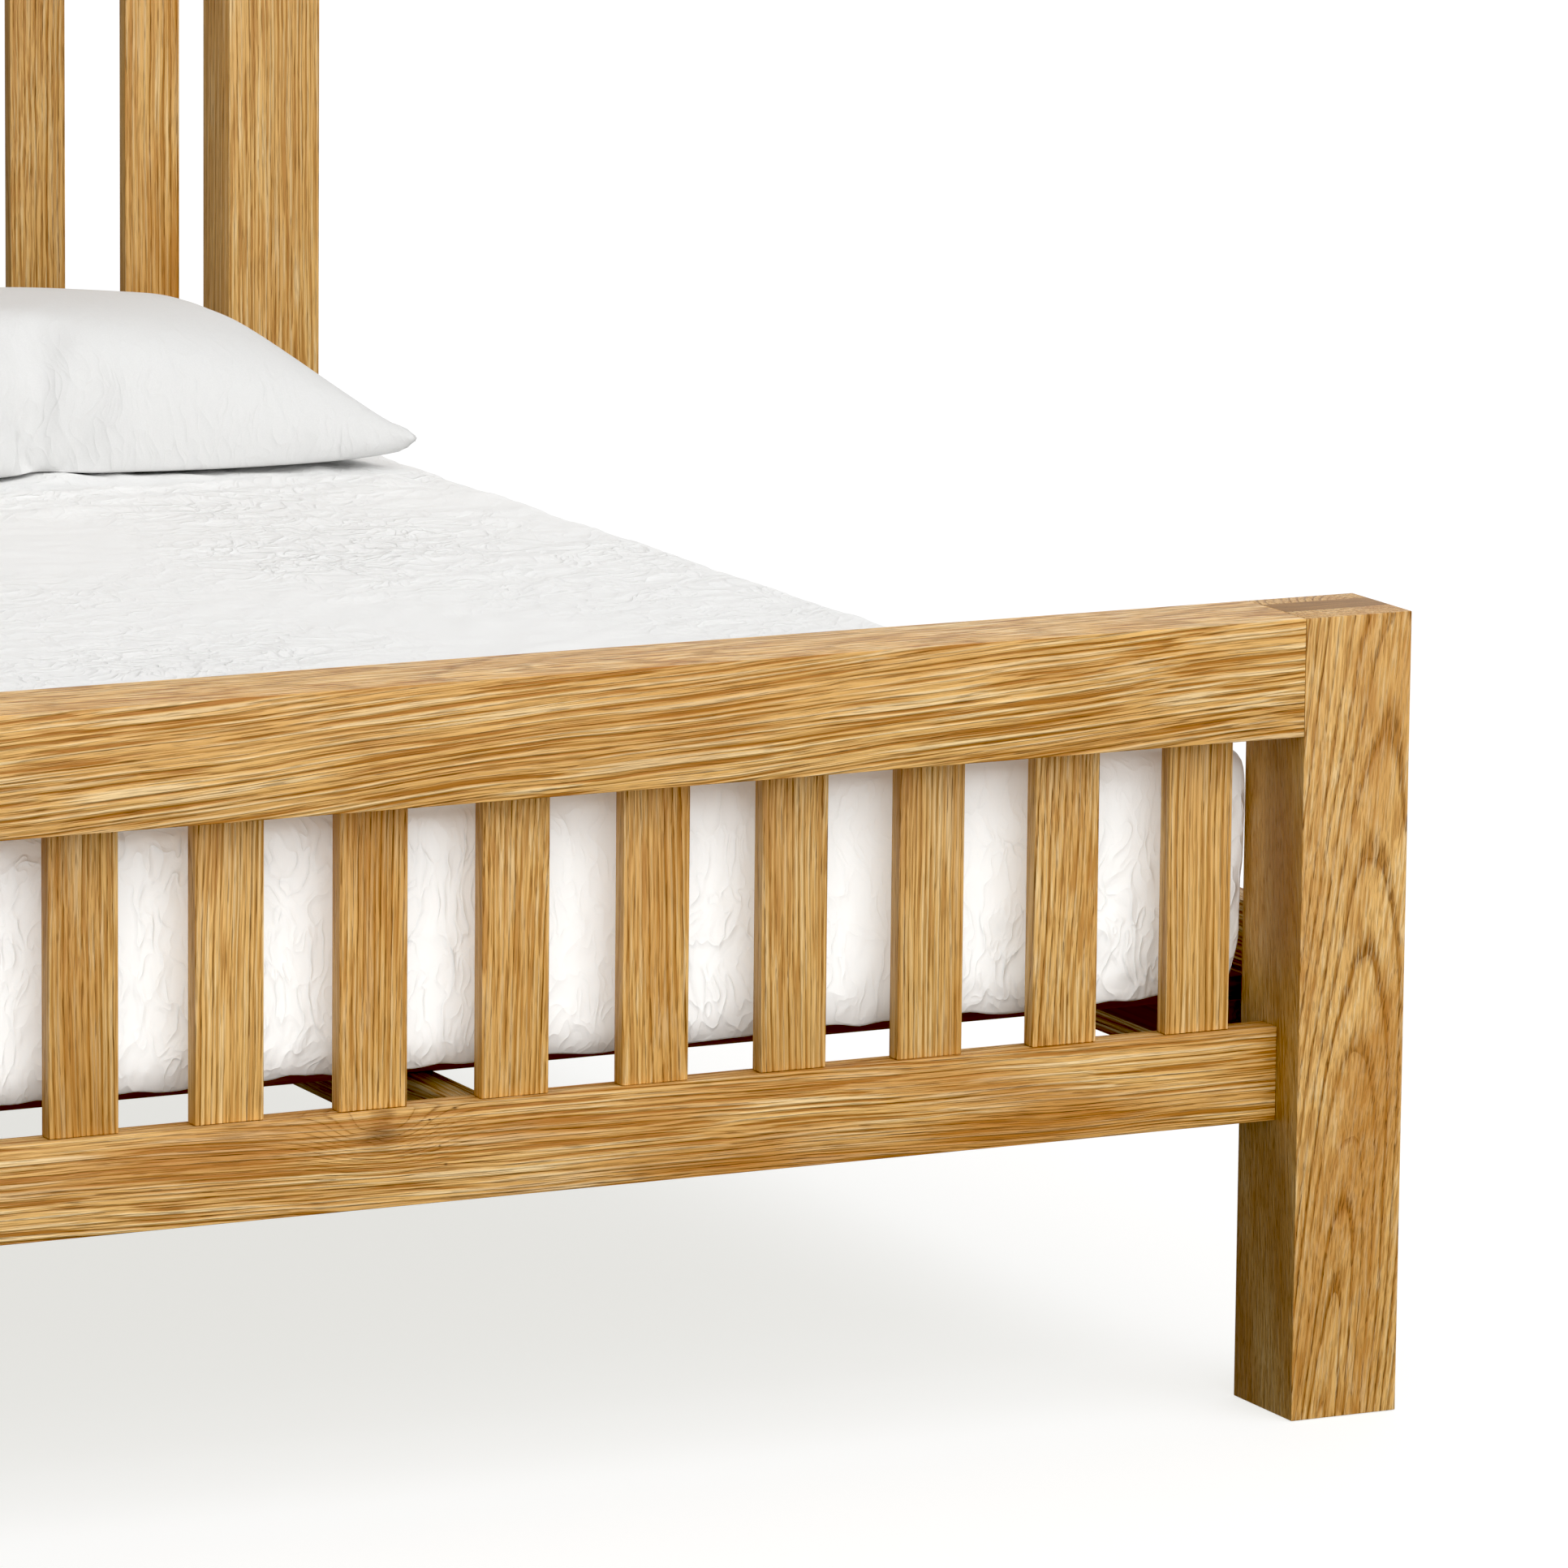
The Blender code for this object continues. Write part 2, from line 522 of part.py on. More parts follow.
# ------------------------------------------------------------------ the whole bed
for old in list(bpy.data.objects):
    bpy.data.objects.remove(old)
PARTS = new_collection("oak_bedstead")
CUTTERS = new_collection("cutters")

bolt_cutter = bolt_hole_cutter(corner_bolt_places())
screw_cutter = screw_hole_cutter(screw_places())
beam_tenons = beam_tenon_boxes()
beam_cutter = new_cutter("beam_mortises", add_boxes(beam_tenons, FIT_GAP))

end_frame("foot", FOOT_CENTRE, FOOT_POST_DEPTH, FOOT_POST_TOP, bolt_cutter, beam_cutter)
end_frame("head", HEAD_CENTRE, HEAD_POST_DEPTH, HEAD_POST_TOP, bolt_cutter, beam_cutter)
side_rails(bolt_cutter, screw_cutter)
base_slats(screw_cutter)
centre_support(beam_tenons)
corner_brackets(bolt_cutter)
mattress()
fitted_sheet()
for side_name, side_sign in SIDES:
    pillow(side_name, side_sign)
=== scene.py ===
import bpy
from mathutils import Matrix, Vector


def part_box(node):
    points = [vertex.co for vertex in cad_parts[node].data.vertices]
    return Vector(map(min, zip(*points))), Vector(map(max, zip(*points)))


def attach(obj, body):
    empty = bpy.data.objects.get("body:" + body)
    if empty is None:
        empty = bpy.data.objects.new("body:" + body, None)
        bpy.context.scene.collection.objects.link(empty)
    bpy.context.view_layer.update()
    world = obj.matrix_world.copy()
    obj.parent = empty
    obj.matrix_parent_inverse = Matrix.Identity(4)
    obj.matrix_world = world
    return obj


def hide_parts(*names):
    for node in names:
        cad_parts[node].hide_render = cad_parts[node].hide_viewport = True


bl_info = {
    "name": "Slatted Oak Bedstead",
    "version": (1, 0, 0),
    "blender": (4, 5, 0),
    "location": "View3D > Sidebar > Bed",
    "description": "Builds the timber, hardware and bedding of a slatted double bed on its measured frame",
    "category": "Object",
}

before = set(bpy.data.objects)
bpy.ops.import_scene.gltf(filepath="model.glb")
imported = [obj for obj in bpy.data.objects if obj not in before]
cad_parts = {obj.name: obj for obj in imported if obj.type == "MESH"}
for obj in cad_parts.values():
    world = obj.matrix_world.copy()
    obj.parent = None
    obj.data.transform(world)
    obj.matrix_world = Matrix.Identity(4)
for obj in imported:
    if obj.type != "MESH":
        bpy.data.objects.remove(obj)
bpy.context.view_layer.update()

import math
import random

import bmesh
import bpy
import numpy as np
from bpy.props import FloatProperty, FloatVectorProperty, IntProperty, PointerProperty, StringProperty
from mathutils import Matrix, Vector, noise

SIDES = (("left", -1), ("right", 1))
ENDS = (("foot", -1), ("head", 1))
X, Y, Z = 0, 1, 2


# ---------------------------------------------------------------------------------------- small helpers
def linear(hex_colour):
    """Turn an sRGB hex colour into the linear RGBA that shaders take."""
    digits = hex_colour.lstrip("#")
    channels = [int(digits[i:i + 2], 16) / 255 for i in (0, 2, 4)]
    return tuple(c / 12.92 if c <= 0.04045 else ((c + 0.055) / 1.055) ** 2.4 for c in channels) + (1.0,)


def new_object(name, bm, materials, body):
    """Make a finished piece from a bmesh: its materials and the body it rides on."""
    mesh = bpy.data.meshes.new(name)
    bm.to_mesh(mesh)
    bm.free()
    piece = bpy.data.objects.new(name, mesh)
    bpy.context.scene.collection.objects.link(piece)
    for material in materials:
        mesh.materials.append(material)
    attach(piece, body)
    return piece


def add_box(bm, low, high):
    """Add a box between two corners to a bmesh."""
    low, high = Vector(low), Vector(high)
    size = high - low
    matrix = Matrix.Translation((low + high) / 2) @ Matrix.Diagonal((*size, 1))
    bmesh.ops.create_cube(bm, size=1, matrix=matrix)


def round_edges(bm, edges, radius, segments):
    """Round the given edges of a bmesh."""
    bmesh.ops.bevel(bm, geom=edges, offset=radius, offset_type='OFFSET', segments=segments,
                    profile=0.5, affect='EDGES', clamp_overlap=True, material=-1)


def shade(piece, angle=math.radians(35)):
    """Shade a piece smooth, with its sharp edges kept."""
    piece.data.shade_smooth()
    piece.data.set_sharp_from_angle(angle=angle)


# ---------------------------------------------------------------------------------------- materials
MATHS = "ShaderNodeMath"
VECTOR = "ShaderNodeVectorMath"
NOISE = "ShaderNodeTexNoise"
RAMP = "ShaderNodeValToRGB"
MIX = "ShaderNodeMix"
FACTOR, FIRST, SECOND = 0, 6, 7          # a colour mix's sockets


def feed(tree, node, inputs):
    """Set a node's inputs, each to a value or to what feeds it."""
    for key, value in inputs.items():
        if isinstance(value, bpy.types.Node):
            value = next(output for output in value.outputs if output.enabled)
        if isinstance(value, bpy.types.NodeSocket):
            tree.links.new(value, node.inputs[key])
        else:
            node.inputs[key].default_value = value


def add(tree, kind, inputs=None, stops=(), **settings):
    """Add a node with its settings, its ramp's stops, and its inputs, each a value or what feeds it."""
    node = tree.nodes.new(kind)
    for name, value in settings.items():
        setattr(node, name, value)
    for _ in stops[2:]:
        node.color_ramp.elements.new(0.5)
    for number, (position, level) in enumerate(stops):
        node.color_ramp.elements[number].position = position
        node.color_ramp.elements[number].color = (level, level, level, 1.0)
    feed(tree, node, inputs or {})
    return node


def new_material(name):
    """Start a material and return it with its node tree and its shader."""
    material = bpy.data.materials.new(name)
    material.use_nodes = True
    return material, material.node_tree, material.node_tree.nodes["Principled BSDF"]


def brushed_oak(name, wood, knots=()):
    """Solid European oak, wire brushed and lacquered: the soft early wood is cut back into fine grooves,
    the hard late wood stands up in pale ridges, and the pores are dark dashes. The brushed lines carry
    painted shade on their dark side and a painted highlight on their pale side. It reads the plank's own
    grain coordinates, in which the rings lie round the tree's heart."""
    material, tree, shader = new_material(name)
    grain = add(tree, "ShaderNodeAttribute", attribute_name="timber").outputs["Vector"]
    board = add(tree, "ShaderNodeAttribute", attribute_name="board").outputs["Vector"]
    tone, density, warmth = add(tree, "ShaderNodeSeparateXYZ", {0: board}).outputs
    faces = add(tree, "ShaderNodeAttribute", attribute_name="faces").outputs["Vector"]
    brushing, figure, depth = add(tree, "ShaderNodeSeparateXYZ", {0: faces}).outputs

    # the grain wanders slowly, and ripples a little over a few centimetres
    bent = grain
    for cycles, reach, start in (((2.2, 8, 8), 0.017, 3.1), ((9, 42, 42), 0.0030, 7.7)):
        place = add(tree, "ShaderNodeMapping", {"Vector": grain, "Scale": cycles, "Location": (start,) * 3})
        wander = add(tree, NOISE, {"Vector": place, "Scale": 1.0, "Detail": 2.0}).outputs["Color"]
        wander = add(tree, VECTOR, {0: wander, 1: (0.5, 0.5, 0.5)}, operation='SUBTRACT')
        wander = add(tree, VECTOR, {0: wander, 1: (0, reach, reach)}, operation='MULTIPLY')
        bent = add(tree, VECTOR, {0: bent, 1: wander}, operation='ADD')

    # distance from the tree's heart, counted in growth rings
    across = add(tree, VECTOR, {0: bent, 1: (0, 1, 1)}, operation='MULTIPLY')
    radius = add(tree, VECTOR, {0: across}, operation='LENGTH')
    rings = add(tree, MATHS, {0: radius, 1: 1.0 / wood.ring_width}, operation='MULTIPLY')
    rings = add(tree, MATHS, {0: rings, 1: density}, operation='MULTIPLY')
    knot_shade = None
    for centre, reach, swell, darkness in knots:
        here = add(tree, "ShaderNodeTexCoord").outputs["Object"]
        away = add(tree, VECTOR, {0: here, 1: centre}, operation='SUBTRACT')
        away = add(tree, VECTOR, {0: away, 1: reach}, operation='DIVIDE')
        squared = add(tree, VECTOR, {0: away, 1: away}, operation='DOT_PRODUCT')
        hill = add(tree, MATHS, {0: squared, 1: -1.0}, operation='MULTIPLY')
        hill = add(tree, MATHS, {0: math.e, 1: hill}, operation='POWER')
        rings = add(tree, MATHS, {0: hill, 1: swell, 2: rings}, operation='MULTIPLY_ADD')
        core = add(tree, MATHS, {0: squared, 1: -9.0}, operation='MULTIPLY')
        core = add(tree, MATHS, {0: math.e, 1: core}, operation='POWER')
        core = add(tree, MATHS, {0: core, 1: darkness}, operation='MULTIPLY')
        knot_shade = core if knot_shade is None else add(tree, MATHS, {0: core, 1: knot_shade},
                                                         operation='MAXIMUM')
    phase = add(tree, MATHS, {0: rings}, operation='FRACT')
    number = add(tree, MATHS, {0: rings}, operation='FLOOR')
    weight = add(tree, "ShaderNodeTexWhiteNoise", {"W": number}, noise_dimensions='1D')
    weight = add(tree, MATHS, {0: weight.outputs["Value"], 1: 0.75, 2: 0.35}, operation='MULTIPLY_ADD')
    early = add(tree, RAMP, {0: phase}, ((0.0, 1.0), (0.12, 0.85), (0.30, 0.15), (0.62, 0.0), (0.90, 0.12),
                                         (1.0, 1.0)))
    weight = add(tree, MATHS, {0: weight, 1: figure}, operation='MULTIPLY')
    early = add(tree, MATHS, {0: early, 1: weight}, operation='MULTIPLY', use_clamp=True)

    # fibres 2.5 mm apart break the rings up into short lines, each dark on one side, the fibres' own colour with
    # painted shade, and pale on the other, a painted highlight
    place = add(tree, "ShaderNodeMapping", {"Vector": bent, "Scale": (4.5, 420, 420), "Location": (5.9,) * 3})
    fibres = add(tree, NOISE, {"Vector": place, "Scale": 1.0, "Detail": 1.5, "Roughness": 0.5})
    dark_grooves_with_painted_shade = add(tree, RAMP, {0: fibres}, ((0.0, 1.0), (0.38, 1.0), (0.48, 0.0), (1.0, 0.0)))
    raised_lines_with_painted_highlight = add(tree, RAMP, {0: fibres}, ((0.0, 0.0), (0.54, 0.0), (0.64, 1.0), (1.0, 1.0)))
    dark_grooves_with_painted_shade = add(tree, MATHS, {0: dark_grooves_with_painted_shade, 1: brushing}, operation='MULTIPLY')
    raised_lines_with_painted_highlight = add(tree, MATHS, {0: raised_lines_with_painted_highlight, 1: brushing}, operation='MULTIPLY')

    # pores are 0.3 mm wide in the wood, drawn three times as wide so that they show
    place = add(tree, "ShaderNodeMapping", {"Vector": bent, "Scale": (38, 1000, 1000), "Location": (1.3,) * 3})
    pores = add(tree, NOISE, {"Vector": place, "Scale": 1.0, "Detail": 1.0})
    pores = add(tree, RAMP, {0: pores}, ((0.0, 0.0), (0.54, 0.0), (0.64, 1.0), (1.0, 1.0)))
    near = add(tree, MATHS, {0: early, 1: 0.7, 2: 0.3}, operation='MULTIPLY_ADD')
    pores = add(tree, MATHS, {0: pores, 1: near}, operation='MULTIPLY')

    place = add(tree, "ShaderNodeMapping", {"Vector": grain, "Scale": (4, 24, 24), "Location": (9.2,) * 3})
    clouds = add(tree, NOISE, {"Vector": place, "Scale": 1.0, "Detail": 2.0})
    clouds = add(tree, RAMP, {0: clouds}, ((0.0, 0.0), (0.40, 0.0), (0.66, 1.0), (1.0, 1.0)))

    # the dark lines mix in the fibre colour, the fibres' own colour with painted shade; the pale lines mix in
    # the ridge colour as a painted highlight
    lines = add(tree, MATHS, {0: dark_grooves_with_painted_shade, 1: wood.line_strength}, operation='MULTIPLY')
    ridges = add(tree, MATHS, {0: raised_lines_with_painted_highlight, 1: wood.line_strength * 0.7}, operation='MULTIPLY')
    blush = add(tree, MATHS, {0: clouds, 1: warmth}, operation='MULTIPLY')
    dashes = add(tree, MATHS, {0: pores, 1: 0.8}, operation='MULTIPLY')
    layers = [(early, wood.early_wood), (lines, wood.fibre), (ridges, wood.ridge), (blush, wood.blush),
              (dashes, wood.pore)]
    if knot_shade is not None:
        layers.append((knot_shade, wood.knot))
    colour = linear(wood.late_wood)
    for share, over in layers:
        colour = add(tree, MIX, {FACTOR: share, FIRST: colour, SECOND: linear(over)}, data_type='RGBA')
    # a depth of colour below one on the faces across the bed darkens them as painted shade, above one lightens
    # them as painted light
    tone = add(tree, MATHS, {0: tone, 1: depth}, operation='MULTIPLY')
    colour = add(tree, VECTOR, {0: colour, "Scale": tone}, operation='SCALE')

    # the brush takes the soft early wood and the pores down, and leaves the late wood proud
    height = add(tree, MATHS, {0: pores, 1: -0.6, 2: raised_lines_with_painted_highlight}, operation='MULTIPLY_ADD')
    height = add(tree, MATHS, {0: dark_grooves_with_painted_shade, 1: -0.8, 2: height}, operation='MULTIPLY_ADD')
    height = add(tree, MATHS, {0: early, 1: -1.0, 2: height}, operation='MULTIPLY_ADD')
    bump = add(tree, "ShaderNodeBump", {"Strength": wood.relief, "Distance": 0.0008, "Height": height})
    rough = add(tree, MATHS, {0: pores, 1: 0.2, 2: 0.46}, operation='MULTIPLY_ADD')
    feed(tree, shader, {"Base Color": colour, "Normal": bump, "Roughness": rough, "IOR": 1.5})
    return material


def oak_end_grain(name, wood):
    """Oak cut across the grain and lacquered: it drinks the lacquer, so it is darker, with pore dots."""
    material, tree, shader = new_material(name)
    here = add(tree, "ShaderNodeTexCoord").outputs["Object"]
    dots = add(tree, NOISE, {"Vector": here, "Scale": 900.0, "Detail": 1.0})
    place = add(tree, "ShaderNodeMapping", {"Vector": here, "Scale": (30, 320, 30)})
    bands = add(tree, NOISE, {"Vector": place, "Scale": 1.0, "Detail": 2.0})
    bands = add(tree, RAMP, {0: bands}, ((0.35, 0.0), (0.65, 1.0)))
    colour = add(tree, MIX, {FACTOR: bands, FIRST: linear(wood.end_grain), SECOND: linear(wood.end_grain_dark)},
                 data_type='RGBA')
    specks = add(tree, RAMP, {0: dots}, ((0.55, 0.0), (0.7, 0.4)))
    colour = add(tree, MIX, {FACTOR: specks, FIRST: colour, SECOND: linear(wood.pore)}, data_type='RGBA')
    bump = add(tree, "ShaderNodeBump", {"Strength": 0.3, "Distance": 0.0006, "Height": dots})
    feed(tree, shader, {"Base Color": colour, "Normal": bump, "Roughness": 0.55})
    return material


def shade_darkened_pine(name, wood, along):
    """Planed softwood of the hidden base, drawn a darker brown than bare pine as painted shade: wide soft rings
    under an even darkening.
    """
    material, tree, shader = new_material(name)
    here = add(tree, "ShaderNodeTexCoord").outputs["Object"]
    wide, fine = [130.0] * 3, [900.0] * 3
    wide[along], fine[along] = 1.6, 14.0
    place = add(tree, "ShaderNodeMapping", {"Vector": here, "Scale": wide})
    rings = add(tree, NOISE, {"Vector": place, "Scale": 1.0, "Detail": 2.0, "Roughness": 0.45})
    rings = add(tree, RAMP, {0: rings}, ((0.0, 0.0), (0.38, 0.1), (0.5, 0.65), (0.56, 0.15), (0.68, 0.7)))
    place = add(tree, "ShaderNodeMapping", {"Vector": here, "Scale": fine})
    fibres = add(tree, NOISE, {"Vector": place, "Scale": 1.0, "Detail": 1.0})
    colour = add(tree, MIX, {FACTOR: rings, FIRST: linear(wood.pine), SECOND: linear(wood.pine_ring)},
                 data_type='RGBA')
    bump = add(tree, "ShaderNodeBump", {"Strength": 0.25, "Distance": 0.0005, "Height": fibres})
    rough = add(tree, MATHS, {0: fibres, 1: 0.2, 2: 0.5}, operation='MULTIPLY_ADD')
    feed(tree, shader, {"Base Color": colour, "Normal": bump, "Roughness": rough})
    return material


def zinc_steel(name, hardware):
    """Zinc-plated mild steel: grey, satin, with faint crystal clouding from the bath."""
    material, tree, shader = new_material(name)
    here = add(tree, "ShaderNodeTexCoord").outputs["Object"]
    cloud = add(tree, NOISE, {"Vector": here, "Scale": 260.0, "Detail": 3.0})
    colour = add(tree, MIX, {FACTOR: cloud, FIRST: linear(hardware.zinc), SECOND: linear(hardware.zinc_bright)},
                 data_type='RGBA')
    rough = add(tree, MATHS, {0: cloud, 1: 0.2, 2: 0.25}, operation='MULTIPLY_ADD')
    feed(tree, shader, {"Base Color": colour, "Roughness": rough, "Metallic": 1.0})
    return material


def moulded_nylon(name, hardware):
    """Injection-moulded black nylon with a fine spark-eroded texture."""
    material, tree, shader = new_material(name)
    here = add(tree, "ShaderNodeTexCoord").outputs["Object"]
    grit = add(tree, NOISE, {"Vector": here, "Scale": 1400.0, "Detail": 1.0})
    colour = add(tree, MIX, {FACTOR: grit, FIRST: linear(hardware.nylon), SECOND: linear(hardware.nylon_worn)},
                 data_type='RGBA')
    bump = add(tree, "ShaderNodeBump", {"Strength": 0.2, "Distance": 0.0004, "Height": grit})
    feed(tree, shader, {"Base Color": colour, "Normal": bump, "Roughness": 0.5})
    return material


def washed_cotton(name, bedding, base, size, depth, stretch=(1, 1, 1)):
    """Plain-woven cotton, washed and not ironed: white and matt, with small sharp creases that are
    finer than its mesh, and a thread texture whose raised threads get a faint painted highlight. Threads are 0.3
    mm apart, drawn at 1.2 mm to show."""
    material, tree, shader = new_material(name)
    here = add(tree, "ShaderNodeTexCoord").outputs["Object"]
    bend = add(tree, NOISE, {"Vector": here, "Scale": 14.0, "Detail": 2.0}).outputs["Color"]
    bend = add(tree, VECTOR, {0: bend, 1: (0.5, 0.5, 0.5)}, operation='SUBTRACT')
    bend = add(tree, VECTOR, {0: bend, "Scale": size * 2.0}, operation='SCALE')
    bent = add(tree, VECTOR, {0: here, 1: bend}, operation='ADD')
    height = None
    for share, start, strength in ((1.0, 0.0, 1.0), (0.42, 3.0, 0.5)):
        cycles = tuple(s / (size * share) for s in stretch)
        place = add(tree, "ShaderNodeMapping", {"Vector": bent, "Scale": cycles, "Location": (start,) * 3})
        field = add(tree, NOISE, {"Vector": place, "Scale": 1.0, "Detail": 1.0})
        field = add(tree, MATHS, {0: field, 1: 0.5}, operation='SUBTRACT')
        field = add(tree, MATHS, {0: field}, operation='ABSOLUTE')
        ridge = add(tree, RAMP, {0: field}, ((0.0, 1.0), (0.04, 0.6), (0.12, 0.15), (0.25, 0.0)))
        height = add(tree, MATHS, {0: ridge, 1: strength, 2: height or 0.0}, operation='MULTIPLY_ADD')
    rumple = add(tree, "ShaderNodeAttribute", attribute_name="rumple").outputs["Fac"]
    height = add(tree, MATHS, {0: height, 1: rumple}, operation='MULTIPLY')
    thread = add(tree, NOISE, {"Vector": here, "Scale": 830.0, "Detail": 0.0})
    height = add(tree, MATHS, {0: thread, 1: 0.02, 2: height}, operation='MULTIPLY_ADD')
    bump = add(tree, "ShaderNodeBump", {"Strength": 0.8, "Distance": depth, "Height": height})
    # the tops of the threads are drawn a little lighter as a painted highlight
    tops = add(tree, MATHS, {0: thread, 1: 0.15}, operation='MULTIPLY')
    colour = add(tree, MIX, {FACTOR: tops, FIRST: linear(base), SECOND: linear(bedding.thread_top_highlight)},
                 data_type='RGBA')
    feed(tree, shader, {"Base Color": colour, "Normal": bump, "Roughness": 0.85, "Sheen Weight": 0.1,
                        "Specular IOR Level": 0.25})
    return material


def mattress_ticking(name, bedding):
    """Woven damask ticking: off-white with a soft diagonal relief from the weave."""
    material, tree, shader = new_material(name)
    here = add(tree, "ShaderNodeTexCoord").outputs["Object"]
    weave = add(tree, "ShaderNodeTexWave", {"Vector": here, "Scale": 90.0, "Distortion": 1.5, "Detail": 1.0},
                bands_direction='DIAGONAL')
    colour = add(tree, MIX, {FACTOR: weave.outputs["Fac"], FIRST: linear(bedding.ticking),
                             SECOND: linear(bedding.ticking_shade)}, data_type='RGBA')
    bump = add(tree, "ShaderNodeBump", {"Strength": 0.25, "Distance": 0.0006, "Height": weave.outputs["Fac"]})
    feed(tree, shader, {"Base Color": colour, "Normal": bump, "Roughness": 0.8})
    return material


# ---------------------------------------------------------------------------------------- settings
def length(name, default, description):
    """A size in metres that a user can change."""
    return FloatProperty(name=name, default=default, min=0.0, unit='LENGTH', subtype='DISTANCE',
                         precision=5, description=description)


def colour(name, default, description):
    """A colour as an sRGB hex value."""
    return StringProperty(name=name, default=default, description=description)


class BedTimberSettings(bpy.types.PropertyGroup):
    """Sizes and colours of the timber"""
    arris: length("Arris", 0.0007, "Radius that the timber's edges are sanded to")
    ring_width: length("Ring width", 0.0050, "Width of one growth ring of the oak")
    relief: FloatProperty(name="Relief", default=0.8, min=0.0, max=1.0,
                          description="How strongly the wire brush has opened the grain")
    line_strength: FloatProperty(name="Line strength", default=0.95, min=0.0, max=1.0,
                                 description="How clearly the fibres show")
    late_wood: colour("Late wood", "#EBBC74", "Hard, pale part of a growth ring")
    early_wood: colour("Early wood", "#9E6822", "Soft, dark part of a growth ring")
    # fibre is partly the fibres' own colour and partly painted shade in the grooves; ridge is a painted
    # highlight on the raised late wood
    fibre: colour("Fibre", "#AB7029", "Dark side of the brushed lines")
    ridge: colour("Ridge", "#FFE6B4", "Pale side of the brushed lines")
    blush: colour("Blush", "#B9792F", "Warm clouding of the heartwood")
    pore: colour("Pore", "#6A4013", "Open pores filled with lacquer")
    knot: colour("Knot", "#5A3210", "Middle of a knot")
    end_grain: colour("End grain", "#A77A40", "Oak cut across the grain")
    end_grain_dark: colour("Dark end grain", "#8B622C", "Darker rings of the end grain")
    # pine and pine_ring are drawn darker than bare pine as painted shade for the base under the mattress
    pine: colour("Pine", "#8C6536", "Softwood of the base, darkened as painted shade")
    pine_ring: colour("Pine ring", "#6B4823", "Darker rings of the softwood")


class BedHardwareSettings(bpy.types.PropertyGroup):
    """Sizes and colours of the metal and plastic pieces"""
    bolt_head_radius: length("Bolt head radius", 0.0065, "Radius of a button-head bolt's head")
    bolt_head_height: length("Bolt head height", 0.0038, "Height of a button-head bolt's head")
    bolt_spacing: length("Bolt spacing", 0.070, "Distance between a bracket's two rows of bolts")
    bracket_thickness: length("Bracket thickness", 0.003, "Thickness of the corner brackets' steel")
    screw_head_radius: length("Screw head radius", 0.0040, "Radius of a countersunk screw's head")
    zinc: colour("Zinc", "#8F9092", "Zinc plating")
    zinc_bright: colour("Bright zinc", "#B9BABC", "Brighter clouds in the plating")
    nylon: colour("Nylon", "#17181A", "Levelling foot")
    nylon_worn: colour("Worn nylon", "#2A2B2D", "Texture of the levelling foot")


class BedBeddingSettings(bpy.types.PropertyGroup):
    """Sizes and colours of the mattress, sheet and pillows"""
    sheet_net: length("Sheet net", 0.0132, "Spacing of the sheet's mesh")
    sheet_spare: FloatProperty(name="Spare cloth", default=0.022, min=0.0, max=0.1,
                               description="How much bigger than the mattress the sheet is cut")
    sheet_frames: IntProperty(name="Sheet frames", default=18, min=1,
                              description="Steps of the sheet's simulation")
    sheet_crease: length("Sheet crease", 0.0020, "Height of the sheet's smaller creases")
    sheet_bulge: length("Sheet bulge", 0.008, "How far the loose sheet stands off at its sides")
    sheet_corner: length("Sheet corner", 0.014, "Radius of the sheet over the mattress's edges")
    pillow_cut_width: length("Pillow width", 0.730, "Width that a pillow is cut to")
    pillow_cut_depth: length("Pillow depth", 0.520, "Depth that a pillow is cut to")
    pillow_net: length("Pillow net", 0.0095, "Spacing of a pillow's mesh before it is filled")
    pillow_frames: IntProperty(name="Pillow frames", default=26, min=1,
                               description="Steps of the filling's simulation")
    cotton: colour("Cotton", "#F2F2F1", "Sheet")
    pillowcase: colour("Pillowcase", "#D9D9D8", "Pillowcases")
    # the thread colour is a painted highlight on the tops of the threads
    thread_top_highlight: colour("Cotton thread", "#F5F5F4", "Painted highlight on the tops of the threads")
    ticking: colour("Ticking", "#E6E3DA", "Mattress cover")
    ticking_shade: colour("Ticking shade", "#D5D1C5", "Low threads of the mattress cover")


class BedStageSettings(bpy.types.PropertyGroup):
    """Camera, light and floor"""
    camera_place: FloatVectorProperty(name="Camera place", default=(-3.0338, -7.6156, 1.8788),
                                      unit='LENGTH', subtype='TRANSLATION', precision=4,
                                      description="Where the camera stands")
    camera_yaw: FloatProperty(name="Yaw", default=math.radians(26.5475), subtype='ANGLE',
                              description="Turn to the right of the bed's length")
    camera_pitch: FloatProperty(name="Pitch", default=math.radians(10.4638), subtype='ANGLE',
                                description="Tilt below the horizon")
    camera_roll: FloatProperty(name="Roll", default=math.radians(0.5938), subtype='ANGLE',
                               description="Turn about the line of sight")
    camera_lens: FloatProperty(name="Lens", default=236.25, unit='CAMERA', description="Focal length in mm")
    sky: FloatProperty(name="Sky", default=0.51, description="Even light from above")
    ground: FloatProperty(name="Ground", default=0.20, description="Even light from below")
    key_light: FloatProperty(name="Key light", default=0.78, description="Soft light from the upper right")
    front_light: FloatProperty(name="Front light", default=1.90, description="Soft light from the front")
    back_light: FloatProperty(name="Back light", default=0.62, description="Soft light from behind")
    strip_light: FloatProperty(name="Strip light", default=0.30, unit='POWER',
                               description="Low strip that fills the gap behind the foot's slats")
    contrast: FloatProperty(name="Black point", default=0.028, description="Light level that shows as black")
    floor: colour("Floor", "#9A9AA0", "Plain pale floor, as its own light leaves it")
    floor_glow: colour("Floor glow", "#DFDFDB", "Tone of the shade under the bed")


